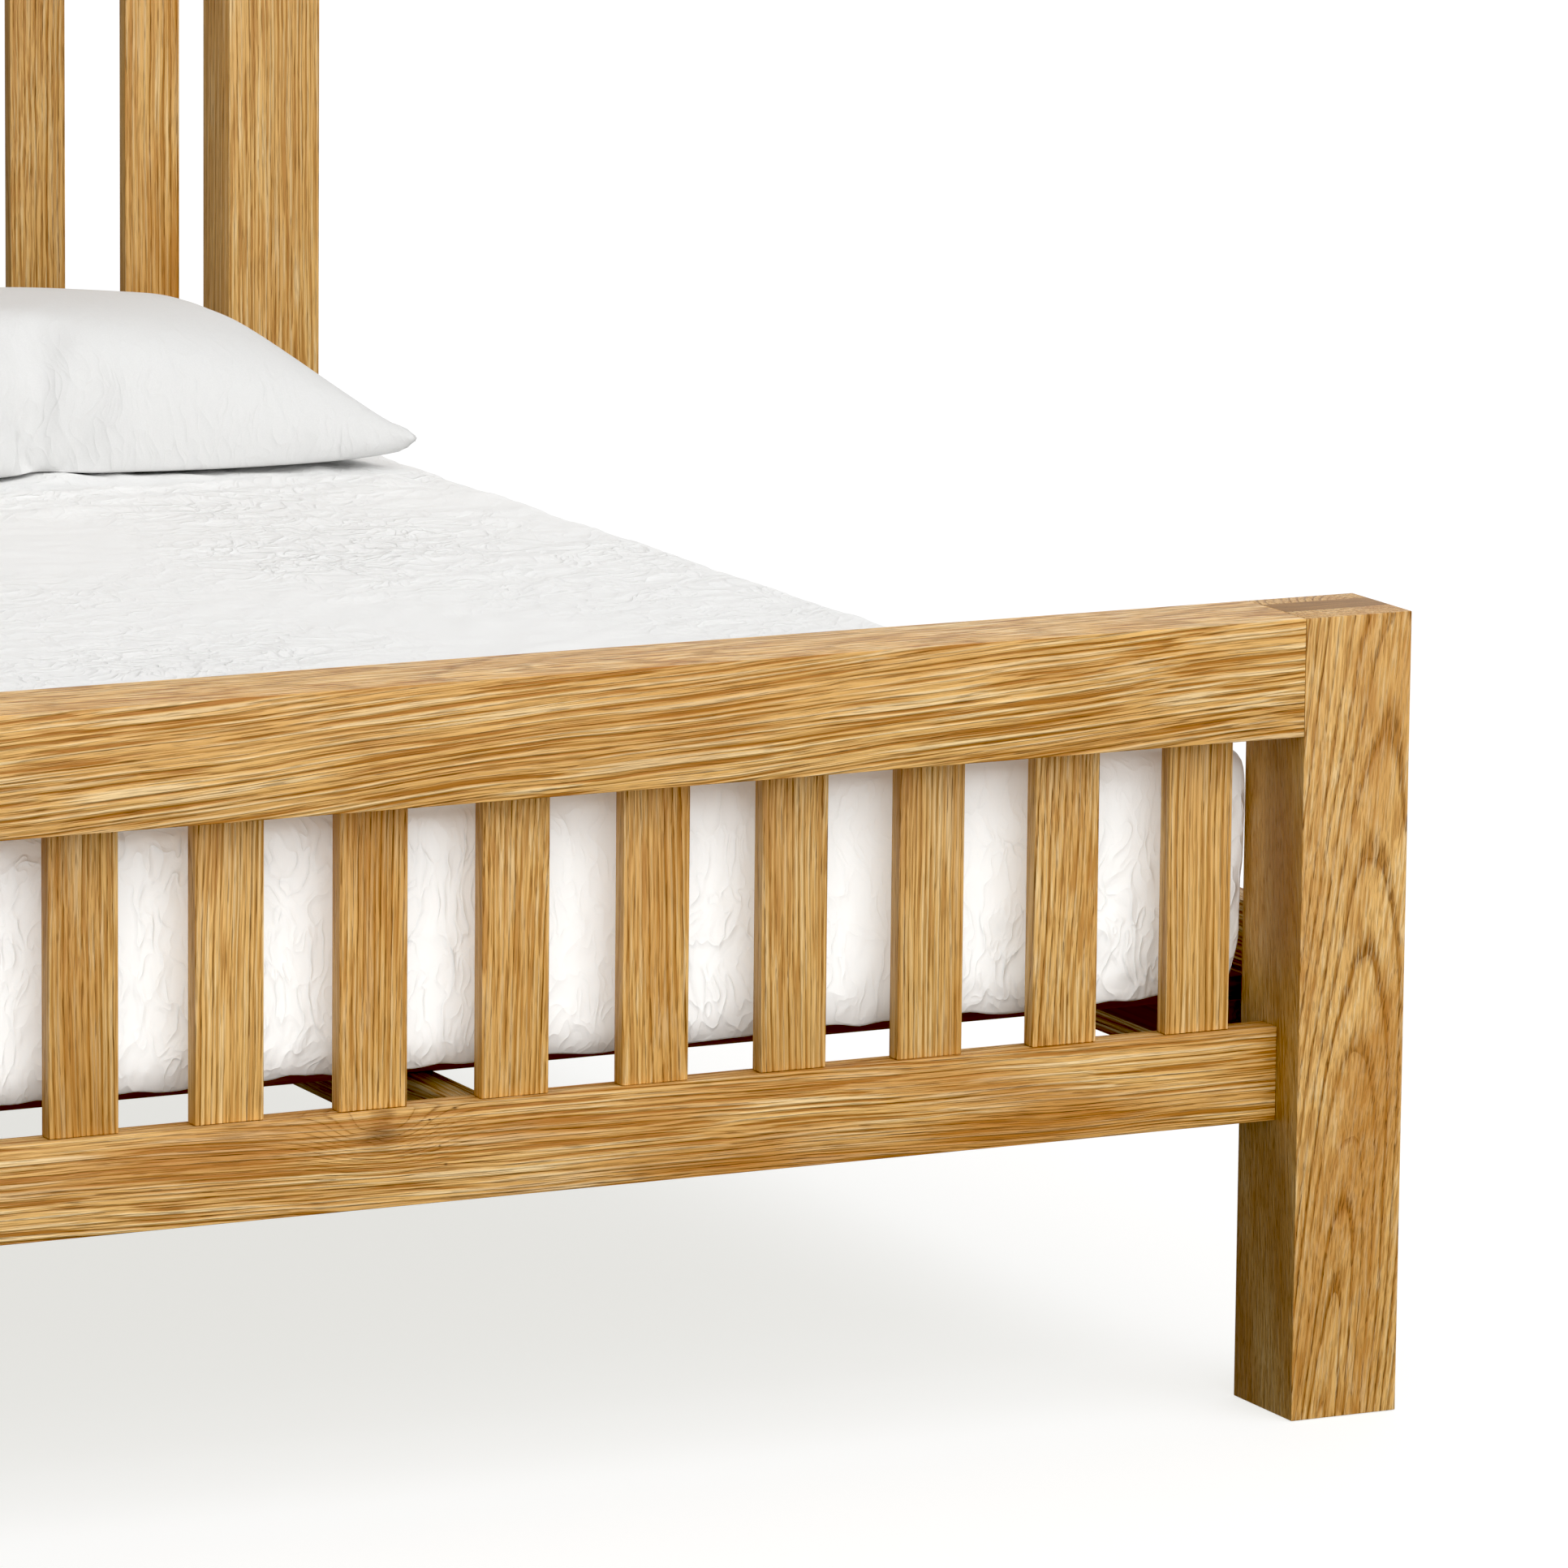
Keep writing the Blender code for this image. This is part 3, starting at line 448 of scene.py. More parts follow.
# ---------------------------------------------------------------------------------------- timber
def grain_frame(piece, low, high, along, seed, heart=None, slope=None, density=None, tone=None, warmth=None,
                finish=(1.0, 0.8, 1.0), side_finish_and_shade=None):
    """Give a plank its own place in a tree: each point's distance along the grain and its two distances
    from the tree's heart, and for the whole plank a tone, a ring density and a warmth. A finish is how
    strongly the brushed lines show, how strongly the rings do, and a depth of colour, and the faces
    across the bed may have their own, in which a depth below one is painted shade and above one painted light."""
    luck = random.Random(seed)
    angle = luck.uniform(0, 2 * math.pi)
    reach = luck.uniform(0.070, 0.120)
    pair = luck.uniform(-0.010, 0.010), luck.uniform(-0.010, 0.010)
    guess = luck.uniform(0.90, 1.08), luck.uniform(0.85, 1.20), luck.uniform(0.15, 0.55)
    start = luck.uniform(-20, 20)
    heart = heart or (reach * math.cos(angle), reach * math.sin(angle))
    slope = slope or pair
    board = tuple(given if given is not None else drawn
                  for given, drawn in zip((tone, density, warmth), guess))
    middle = np.array((Vector(low) + Vector(high)) / 2)
    across = [axis for axis in (X, Y, Z) if axis != along]
    points = np.empty(len(piece.data.vertices) * 3)
    piece.data.vertices.foreach_get("co", points)
    points = points.reshape(-1, 3) - middle
    timber = np.empty_like(points)
    timber[:, 0] = points[:, along] + start
    for column, axis in enumerate(across):
        timber[:, column + 1] = points[:, axis] + heart[column] + slope[column] * points[:, along]
    sides = np.abs(np.abs(points[:, X]) - (high[X] - low[X]) / 2) < 1e-5
    faces = np.where(sides[:, None], side_finish_and_shade or finish, finish)
    for name, values in (("timber", timber), ("board", np.tile(board, (len(points), 1))), ("faces", faces)):
        layer = piece.data.attributes.new(name, 'FLOAT_VECTOR', 'POINT')
        layer.data.foreach_set("vector", values.astype(np.float32).ravel())


def plank(name, low, high, along, node, materials, wood, body="bedstead", **grain):
    """A sanded piece of oak between two corners, with rounded arrises and its own grain."""
    bm = bmesh.new()
    add_box(bm, low, high)
    round_edges(bm, bm.edges[:], wood.arris, 3)
    piece = new_object(name, bm, materials, body)
    grain_frame(piece, low, high, along, grain.pop("seed", name), **grain)
    shade(piece)
    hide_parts(node)
    return piece


def between_posts(end):
    """Left and right ends of the rails at one end of the bed, at the posts' inner faces."""
    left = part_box(f"{end}_post_left")[1].x
    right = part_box(f"{end}_post_right")[0].x
    return left, right


SEAM = 0.0003


class BED_OT_posts(bpy.types.Operator):
    """Make the four posts, with laminated end grain on top"""
    bl_idname = "bed.posts"
    bl_label = "Posts"

    LAYERS = (0.36, 0.76)     # where the dark core starts and ends, from front to back

    def execute(self, context):
        wood = context.scene.bed_timber
        oak = brushed_oak("brushed oak", wood)
        core = oak_end_grain("oak end grain", wood)
        # the last number of each side finish is painted shade on the sides of the foot posts and a little
        # painted light on the sides of the head posts
        grains = {
            ("foot", "right"): dict(heart=(-0.012, 0.014), slope=(-0.090, -0.080), density=0.80, tone=0.96,
                                    warmth=0.6, finish=(0.55, 0.95, 1.0), side_finish_and_shade=(0.35, 0.2, 0.70)),
            ("foot", "left"): dict(heart=(-0.018, 0.020), slope=(0.050, -0.060), density=0.80, tone=0.96,
                                   warmth=0.6, finish=(0.55, 0.95, 1.0), side_finish_and_shade=(0.35, 0.2, 0.75)),
            ("head", "right"): dict(heart=(0.120, 0.050), slope=(0.006, 0.010), density=1.25, tone=0.86,
                                    warmth=0.2, finish=(0.7, 0.7, 1.0), side_finish_and_shade=(0.5, 0.4, 1.05)),
            ("head", "left"): dict(heart=(-0.110, 0.060), slope=(0.004, -0.012), density=1.2, tone=0.86,
                                   warmth=0.25, finish=(0.7, 0.7, 1.0), side_finish_and_shade=(0.5, 0.4, 1.05)),
        }
        for end, _ in ENDS:
            for side, _ in SIDES:
                node = f"{end}_post_{side}"
                low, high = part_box(node)
                self.post(node, low, high, (oak, core), wood, grains[end, side])
        return {'FINISHED'}

    def post(self, node, low, high, materials, wood, grain):
        """One post: its top and bottom faces are cut in three layers, and the middle one is dark."""
        bm = bmesh.new()
        add_box(bm, low, high)
        round_edges(bm, bm.edges[:], wood.arris, 3)
        cuts = [low.y + share * (high.y - low.y) for share in self.LAYERS]
        for cut in cuts:
            bmesh.ops.bisect_plane(bm, geom=bm.verts[:] + bm.edges[:] + bm.faces[:],
                                   plane_co=(0, cut, 0), plane_no=(0, 1, 0))
        for face in bm.faces:
            middle = face.calc_center_median().y
            if abs(face.normal.z) > 0.9 and cuts[0] < middle < cuts[1]:
                face.material_index = 1
        piece = new_object(node + "_oak", bm, materials, "bedstead")
        grain_frame(piece, low, high, Z, node, **grain)
        shade(piece)
        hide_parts(node)


class BED_OT_rails(bpy.types.Operator):
    """Make the top and lower rails of both ends"""
    bl_idname = "bed.rails"
    bl_label = "End rails"

    def execute(self, context):
        wood = context.scene.bed_timber
        oak = brushed_oak("brushed oak of the rails", wood)
        for end, _ in ENDS:
            left, right = between_posts(end)
            for kind in ("top_rail", "lower_rail"):
                node = f"{end}_{kind}"
                low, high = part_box(node)
                low.x, high.x = left + SEAM, right - SEAM
                material = oak
                grain = dict(heart=(0.015, 0.130), slope=(0.003, -0.055), density=1.05, warmth=0.25, tone=1.02,
                             finish=(1.0, 0.6, 1.0))
                if kind == "lower_rail":
                    grain = dict(heart=(0.010, -0.125), slope=(0.002, 0.012), density=1.15, warmth=0.7,
                                 tone=0.97, finish=(1.0, 0.7, 1.0))
                if node == "foot_lower_rail":
                    material = brushed_oak("brushed oak with knots", wood, self.knots(low, high))
                plank(node + "_oak", low, high, X, node, [material], wood, **grain)
        return {'FINISHED'}

    def knots(self, low, high):
        """Knots on the face of the foot's lower rail: centre, reach, swell of the rings, darkness."""
        face, top = low.y, high.z
        deep = 0.060
        return (((-0.052, face, top - 0.018), (0.046, deep, 0.022), -6.0, 0.60),
                ((-0.062, face, top - 0.020), (0.010, deep, 0.005), 1.5, 0.5),
                ((-0.014, face, top - 0.010), (0.0035, deep, 0.0025), 0.0, 0.95),
                ((-0.006, face, top - 0.030), (0.0030, deep, 0.0022), 0.0, 0.9),
                ((-0.001, face, top - 0.044), (0.0045, deep, 0.0030), 0.0, 0.8),
                ((0.006, face, top - 0.003), (0.0060, deep, 0.0035), 0.0, 0.8))


class BED_OT_end_slats(bpy.types.Operator):
    """Make the upright slats of both ends"""
    bl_idname = "bed.end_slats"
    bl_label = "Upright slats"

    HEAD_SHADE = 0.20         # how much darker the head's slats are

    def execute(self, context):
        wood = context.scene.bed_timber
        oak = brushed_oak("brushed oak of the slats", wood)
        count = sum(node.startswith("foot_slat_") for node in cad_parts)
        for end, _ in ENDS:
            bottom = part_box(f"{end}_lower_rail")[1].z
            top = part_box(f"{end}_top_rail")[0].z
            for number in range(1, count + 1):
                node = f"{end}_slat_{number:02d}"
                low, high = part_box(node)
                low.z, high.z = bottom + SEAM, top - SEAM
                luck = random.Random(node + "b")
                darker = self.HEAD_SHADE if end == "head" else 0.0
                side = luck.choice((-1, 1))
                # the slats' sides are drawn at 0.85 depth of colour as painted shade
                grain = dict(heart=(side * luck.uniform(0.06, 0.12), luck.uniform(-0.06, 0.06)),
                             slope=(luck.uniform(-0.02, 0.02), luck.uniform(-0.05, 0.05)),
                             density=luck.uniform(0.8, 1.3), tone=luck.uniform(0.94, 1.10) - darker,
                             warmth=luck.uniform(0.2, 0.6), finish=(0.62, 0.85, 1.0),
                             side_finish_and_shade=(0.4, 0.5, 0.85))
                plank(node + "_oak", low, high, Z, node, [oak], wood, **grain)
        return {'FINISHED'}


class BED_OT_sides(bpy.types.Operator):
    """Make the side rails, their ledges, and the centre beam with its leg"""
    bl_idname = "bed.sides"
    bl_label = "Sides and centre beam"

    def execute(self, context):
        wood = context.scene.bed_timber
        oak = brushed_oak("brushed oak of the sides", wood)
        # the ledges get pine drawn darker as painted shade
        pine = shade_darkened_pine("stained pine along the bed", wood, Y)
        for side, _ in SIDES:
            node = f"side_rail_{side}"
            low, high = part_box(node)
            plank(node + "_oak", low, high, Y, node, [oak], wood, heart=(0.012, 0.115),
                  slope=(0.001, 0.009), density=1.0, warmth=0.3)
            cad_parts[f"side_ledge_{side}"].data.materials[0] = pine
        beam_low, beam_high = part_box("centre_beam")
        beam_low.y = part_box("foot_lower_rail")[1].y + SEAM
        beam_high.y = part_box("head_lower_rail")[0].y - SEAM
        # the beam is drawn at half tone as painted shade, for the shade it sits in under the slats
        plank("centre_beam_oak", beam_low, beam_high, Y, "centre_beam", [oak], wood, tone=0.5)
        leg_low, leg_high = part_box("centre_leg")
        leg_high.z = beam_low.z - SEAM
        plank("centre_leg_oak", leg_low, leg_high, Z, "centre_leg", [oak], wood, tone=0.92)
        return {'FINISHED'}


class BED_OT_base(bpy.types.Operator):
    """Finish the cross slats of the base and put their screws in"""
    bl_idname = "bed.base"
    bl_label = "Slatted base"

    SINK = 0.0006             # screw head below the slat's top
    RECESS = 0.0006           # depth of the drive in the screw head

    def execute(self, context):
        wood = context.scene.bed_timber
        hardware = context.scene.bed_hardware
        # the base slats get pine drawn darker as painted shade
        pine = shade_darkened_pine("stained pine across the bed", wood, X)
        steel = zinc_steel("zinc screws", hardware)
        slats = sorted(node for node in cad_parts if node.startswith("base_slat_"))
        for node in slats:
            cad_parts[node].data.materials[0] = pine
        for side, _ in SIDES:
            ledge_low, ledge_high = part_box(f"side_ledge_{side}")
            x = (ledge_low.x + ledge_high.x) / 2
            for number, node in enumerate(slats, 1):
                low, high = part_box(node)
                centre = Vector((x, (low.y + high.y) / 2, high.z - self.SINK))
                self.screw(f"slat_screw_{side}_{number:02d}", centre, hardware, steel)
        return {'FINISHED'}

    def screw(self, name, centre, hardware, steel):
        """One countersunk screw with a plain recess, its head just under the slat's top."""
        radius = hardware.screw_head_radius
        cone = radius * 0.62
        bm = bmesh.new()
        bmesh.ops.create_cone(bm, cap_ends=True, segments=16, radius1=radius * 0.48, radius2=radius, depth=cone,
                              matrix=Matrix.Translation(centre - Vector((0, 0, cone / 2))))
        top = max(bm.faces, key=lambda face: face.calc_center_median().z)
        bmesh.ops.inset_region(bm, faces=[top], thickness=radius * 0.5)
        top = min(bm.faces, key=lambda face: (face.calc_center_median() - centre).length)
        bmesh.ops.translate(bm, verts=top.verts, vec=(0, 0, -self.RECESS))
        piece = new_object(name, bm, [steel], "bedstead")
        shade(piece)


class BED_OT_hardware(bpy.types.Operator):
    """Finish the corner brackets and the levelling foot, and make the brackets' bolts"""
    bl_idname = "bed.hardware"
    bl_label = "Brackets, bolts and foot"

    def execute(self, context):
        hardware = context.scene.bed_hardware
        steel = zinc_steel("zinc-plated steel", hardware)
        for end, way in ENDS:
            for side, sign in SIDES:
                node = f"corner_bracket_{end}_{side}"
                low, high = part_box(node)
                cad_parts[node].data.materials[0] = steel
                self.bolts(end, side, sign, way, low, high, hardware, steel)
        nylon = moulded_nylon("moulded nylon", hardware)
        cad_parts["centre_leg_foot"].data.materials[0] = nylon
        return {'FINISHED'}

    def bolts(self, end, side, sign, way, low, high, hardware, steel):
        """Four button-head bolts of one bracket: two into the post and two into the side rail."""
        steel_depth = hardware.bracket_thickness + SEAM
        middle = (low + high) / 2
        rail_face = high.x if sign > 0 else low.x
        post_face = low.y if way < 0 else high.y
        for row, step in enumerate((-0.5, 0.5)):
            z = middle.z + step * hardware.bolt_spacing
            toe_x = low.x if sign > 0 else high.x
            in_post = Vector(((toe_x + rail_face - sign * hardware.bracket_thickness) / 2,
                              post_face - way * steel_depth, z))
            toe_y = high.y if way < 0 else low.y
            in_rail = Vector((rail_face - sign * steel_depth,
                              (toe_y + post_face - way * hardware.bracket_thickness) / 2, z))
            self.bolt(f"post_bolt_{end}_{side}_{row + 1}", in_post, Vector((0, -way, 0)), hardware, steel)
            self.bolt(f"rail_bolt_{end}_{side}_{row + 1}", in_rail, Vector((-sign, 0, 0)), hardware, steel)

    def bolt(self, name, seat, way, hardware, steel):
        """A domed bolt head with a round socket, seated on a bracket."""
        radius, height = hardware.bolt_head_radius, hardware.bolt_head_height
        turn = way.to_track_quat('Z', 'Y').to_matrix().to_4x4()
        bm = bmesh.new()
        bmesh.ops.create_cone(bm, cap_ends=True, segments=24, radius1=radius, radius2=radius, depth=height,
                              matrix=Matrix.Translation((0, 0, height / 2)))
        rim = [edge for edge in bm.edges if min(v.co.z for v in edge.verts) > height * 0.9]
        round_edges(bm, rim, height * 0.55, 4)
        top = max(bm.faces, key=lambda face: face.calc_center_median().z + face.calc_area())
        bmesh.ops.inset_region(bm, faces=[top], thickness=radius * 0.12)
        bm.normal_update()
        top = max((f for f in bm.faces if f.normal.z > 0.99), key=lambda face: face.calc_area())
        bmesh.ops.inset_region(bm, faces=[top], thickness=radius * 0.05, depth=-height * 0.5)
        bmesh.ops.transform(bm, matrix=Matrix.Translation(seat) @ turn, verts=bm.verts)
        piece = new_object(name, bm, [steel], "bedstead")
        shade(piece)


# ---------------------------------------------------------------------------------------- bedding
def even_net(name, bm, spacing):
    """Return a bmesh of the same shape with an even net of quads, by voxel remeshing."""
    rough = working_object(name, bm)
    remesh = rough.modifiers.new("net", 'REMESH')
    remesh.mode = 'VOXEL'
    remesh.voxel_size = spacing
    evaluated = rough.evaluated_get(bpy.context.evaluated_depsgraph_get())
    net = bmesh.new()
    net.from_mesh(evaluated.to_mesh())
    evaluated.to_mesh_clear()
    mesh = rough.data
    bpy.data.objects.remove(rough)
    bpy.data.meshes.remove(mesh)
    return net


def set_rumple(piece, amounts):
    """Store how crumpled the cloth is at each point, from 0 to 1."""
    layer = piece.data.attributes.new("rumple", 'FLOAT', 'POINT')
    layer.data.foreach_set("value", amounts)


def crease(point, size, seed):
    """Height from 0 to 1 of sharp ridges about size apart, running in every direction."""
    where = point / size
    bend = noise.noise_vector(where * 0.45 + Vector((seed, 0, seed))) * 0.9
    value = noise.noise(where + bend + Vector((0, seed, seed)))
    return max(0.0, 1.0 - abs(value) * 3.2) ** 2


class BED_OT_mattress(bpy.types.Operator):
    """Make the mattress: a block with rounded edges, hidden under its sheet but for its underside"""
    bl_idname = "bed.mattress"
    bl_label = "Mattress"

    INSET = 0.004
    TAPE = 0.004

    def execute(self, context):
        bedding = context.scene.bed_bedding
        low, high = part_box("mattress")
        inset = Vector((self.INSET,) * 3)
        low += inset
        high -= inset
        low.z -= self.INSET
        material = mattress_ticking("damask ticking", bedding)
        bm = bmesh.new()
        add_box(bm, low, high)
        upright = [e for e in bm.edges if abs(e.verts[0].co.z - e.verts[1].co.z) > 0.1]
        round_edges(bm, upright, 0.05, 6)
        flat = [e for e in bm.edges if len(e.link_faces) == 2
                and {round(abs(f.normal.z)) for f in e.link_faces} == {0, 1}]
        round_edges(bm, flat, 0.012, 3)
        piece = new_object("mattress_ticking", bm, [material], "mattress")
        shade(piece)
        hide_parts("mattress")
        return {'FINISHED'}


def simulate(piece, frames):
    """Run the cloth of a piece and return its settled shape as a bmesh."""
    cache = piece.modifiers["cloth"].point_cache
    cache.frame_start, cache.frame_end = 1, frames
    for step in range(1, frames + 1):
        bpy.context.scene.frame_set(step)
    evaluated = piece.evaluated_get(bpy.context.evaluated_depsgraph_get())
    settled = bmesh.new()
    settled.from_mesh(evaluated.to_mesh())
    evaluated.to_mesh_clear()
    bpy.context.scene.frame_set(1)
    mesh = piece.data
    bpy.data.objects.remove(piece)
    bpy.data.meshes.remove(mesh)
    return settled


def working_object(name, bm):
    """Put a bmesh in the scene for a simulation."""
    mesh = bpy.data.meshes.new(name)
    bm.to_mesh(mesh)
    bm.free()
    piece = bpy.data.objects.new(name, mesh)
    bpy.context.scene.collection.objects.link(piece)
    return piece


class BED_OT_sheet(bpy.types.Operator):
    """Make the creased sheet: cloth cut a little too big settles on the mattress, held at its hem"""
    bl_idname = "bed.sheet"
    bl_label = "Sheet"

    GAP = 0.0015          # between the mattress block that the cloth settles on and the cloth
    REACH = 0.014         # the furthest that a point may move while it settles
    HEM = 0.015           # cloth of the hem, at each side of the flat sheet
    TURN = 0.0022         # how far the hem's edge turns in
    FOLDS = 0.0028        # height of the folds at the sides
    CORNER_PUSH = 0.006   # how far the corners stand out
    END_DROP = 0.0075     # how much lower the hem hangs at the two ends
    RIDGES = ((0.022, 0.014, 0.019), (0.058, 0.012, 0.011), (0.100, 0.013, 0.007))
    # bunched ridges before the pillows: distance from the pillow, width and height

    def execute(self, context):
        bedding = context.scene.bed_bedding
        low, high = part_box("fitted_sheet")
        net = self.cut(low, high, bedding)
        net = self.settle(net, low, high, bedding)
        self.finish_shape(net, low, high, bedding)
        material = washed_cotton("washed cotton sheet", bedding, bedding.cotton, 0.028, 0.0034, (1.0, 0.9, 0.38))
        piece = new_object("fitted_sheet_cotton", net, [material], "mattress")
        piece.data.shade_smooth()
        patch = [0.5 + 0.55 * noise.noise(vert.co * 5.0) for vert in piece.data.vertices]
        sides = [1.0 - abs(vert.normal.z) for vert in piece.data.vertices]
        set_rumple(piece, [max(0.08, share * 1.5 - 0.42) * (0.75 + 0.25 * side) + 0.25 * side
                           for side, share in zip(sides, patch)])
        smooth = piece.modifiers.new("smooth", 'SUBSURF')
        smooth.levels = smooth.render_levels = 1
        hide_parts("fitted_sheet")
        return {'FINISHED'}

    def cut(self, low, high, bedding):
        """The sheet before it creases: an even net over the mattress's top and sides, open below."""
        bm = bmesh.new()
        add_box(bm, low - Vector((0, 0, 0.03)), high)
        upright = [e for e in bm.edges if abs(e.verts[0].co.z - e.verts[1].co.z) > 0.1]
        round_edges(bm, upright, bedding.sheet_corner, 3)
        top_edges = [e for e in bm.edges if min(v.co.z for v in e.verts) > high.z - 0.001]
        round_edges(bm, top_edges, bedding.sheet_corner, 4)
        net = even_net("sheet_net", bm, bedding.sheet_net)
        bmesh.ops.bisect_plane(net, geom=net.verts[:] + net.edges[:] + net.faces[:],
                               plane_co=(0, 0, low.z), plane_no=(0, 0, -1), clear_outer=True)
        bmesh.ops.remove_doubles(net, verts=net.verts, dist=bedding.sheet_net * 0.3)
        net.normal_update()
        for vert in net.verts:
            vert.co += vert.normal * 0.0006 * (1 + noise.noise(vert.co * 24.0) + noise.noise(vert.co * 57.0))
        return net

    def settle(self, net, low, high, bedding):
        """Let the cloth grow a few hundredths against the mattress, so that it buckles into creases."""
        block = bmesh.new()
        gap = Vector((self.GAP,) * 3)
        add_box(block, low + gap - Vector((0, 0, 0.05)), high - gap)
        round_edges(block, block.edges[:], bedding.sheet_corner, 4)
        block = working_object("settling_block", block)
        block.modifiers.new("touch", 'COLLISION')
        block.collision.thickness_outer = 0.001
        block.collision.cloth_friction = 8.0
        start = [vert.co.copy() for vert in net.verts]
        hem = [vert.index for vert in net.verts if vert.is_boundary]
        cloth = working_object("settling_sheet", net)
        cloth.vertex_groups.new(name="hem").add(hem, 1.0, 'REPLACE')
        settings = cloth.modifiers.new("cloth", 'CLOTH').settings
        settings.quality = 5
        settings.mass = 0.12
        settings.tension_stiffness = settings.compression_stiffness = 30
        settings.shear_stiffness = 12
        settings.bending_stiffness = 0.08
        settings.vertex_group_mass = "hem"
        settings.shrink_min = -bedding.sheet_spare
        settings.effector_weights.gravity = 0.4
        collision = cloth.modifiers["cloth"].collision_settings
        collision.distance_min = 0.001
        collision.use_self_collision = False
        settled = simulate(cloth, bedding.sheet_frames)
        mesh = block.data
        bpy.data.objects.remove(block)
        bpy.data.meshes.remove(mesh)
        for vert, place in zip(settled.verts, start):
            move = vert.co - place
            if move.length > self.REACH:
                vert.co = place + move * (self.REACH / move.length)
        return settled

    def finish_shape(self, net, low, high, bedding):
        """Small creases that the net is too coarse to buckle into, the loose ends and the wavy hem."""
        net.normal_update()
        centre = (low + high) / 2
        height = high.z - low.z
        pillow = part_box("pillow_right")[0].y
        for vert in net.verts:
            point = vert.co.copy()
            down = (high.z - point.z) / height
            side = 1.0 - abs(vert.normal.z)
            drawn = Vector((point.x * 0.8, point.y, 0.0))
            if side > 0.5:
                drawn = Vector((point.x, point.y, point.z * 0.5))
            fine = bedding.sheet_crease * (0.8 * crease(drawn, 0.075, 1.0) + 0.6 * crease(drawn, 0.038, 5.0))
            fine *= 0.75 - 0.33 * side
            folds = noise.noise(Vector((point.x * 30.0, point.y * 30.0, point.z * 6.0 + point.x * 4.0)))
            fine += self.FOLDS * folds * side * math.exp(-max(0.0, down) * 2.5)
            bulge = bedding.sheet_bulge * side * math.sin(math.pi * min(1.0, max(0.0, down) * 0.95 + 0.03))
            vert.co += vert.normal * (fine + bulge)
            corner = max(0.0, 1.0 - (abs(high.x) - abs(point.x)) / 0.03) * max(
                0.0, 1.0 - min(point.y - low.y, high.y - point.y) / 0.03)
            outwards = Vector((math.copysign(1, point.x), math.copysign(1, point.y), 0))
            vert.co += outwards * corner * self.CORNER_PUSH * side
            if side < 0.3 and abs(point.x) < abs(high.x) - 0.05:
                for number, (back, wide, tall) in enumerate(self.RIDGES):
                    sway = noise.noise(Vector((point.x * 3.5, 2.0 + number * 3, 0.0)))
                    share = 0.5 + 1.1 * noise.noise(Vector((point.x * 5.5, 7.0 + number * 5, 0.0)))
                    ridge = math.exp(-((point.y - pillow + back - 0.030 * sway) / wide) ** 2)
                    ripple = 0.7 + 0.6 * noise.noise(Vector((point.x * 34.0, point.y * 24.0, 4.0)))
                    vert.co.z += ridge * tall * max(0.0, share) * ripple
        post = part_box("foot_post_right")
        for vert in net.verts:
            # the hem hangs a little below the mattress at the two ends, where no base slat is under it
            ends = min(1.0, max(0.0, (abs(high.x) - 0.022 - abs(vert.co.x)) / 0.03))
            if vert.co.y > low.y + 0.03 and vert.co.y < high.y - 0.03:
                ends = 0.0
            share = max(0.0, 1.0 - (vert.co.z - low.z) / 0.06)
            ripple = noise.noise(Vector((vert.co.x * 24.0, vert.co.y * 24.0, 0.0)))
            lowered = 0.0030 * ripple - self.END_DROP
            vert.co.z += ends * share * lowered + (1.0 - ends) * share * 0.001 * (ripple + 1.0)
            # and nothing reaches the posts or the brackets beside it
            widest = post[0].x - 0.0015 if abs(vert.co.y) > abs(low.y) - 0.012 else post[0].x + 0.006
            vert.co.x = max(-widest, min(widest, vert.co.x))
            vert.co.y = max(post[1].y - bedding.sheet_bulge, vert.co.y)
        edges = [edge for edge in net.edges if edge.is_boundary]
        turned = bmesh.ops.extrude_edge_only(net, edges=edges)["geom"]
        for vert in (item for item in turned if isinstance(item, bmesh.types.BMVert)):
            at_side = abs(abs(vert.co.x) - abs(high.x)) < 0.03
            at_end = min(vert.co.y - low.y, high.y - vert.co.y) < 0.03
            inwards = Vector((math.copysign(1, centre.x - vert.co.x) if at_side else 0.0,
                              math.copysign(1, centre.y - vert.co.y) if at_end else 0.0, 0.0))
            vert.co += inwards * self.TURN + Vector((0, 0, 0.0008))


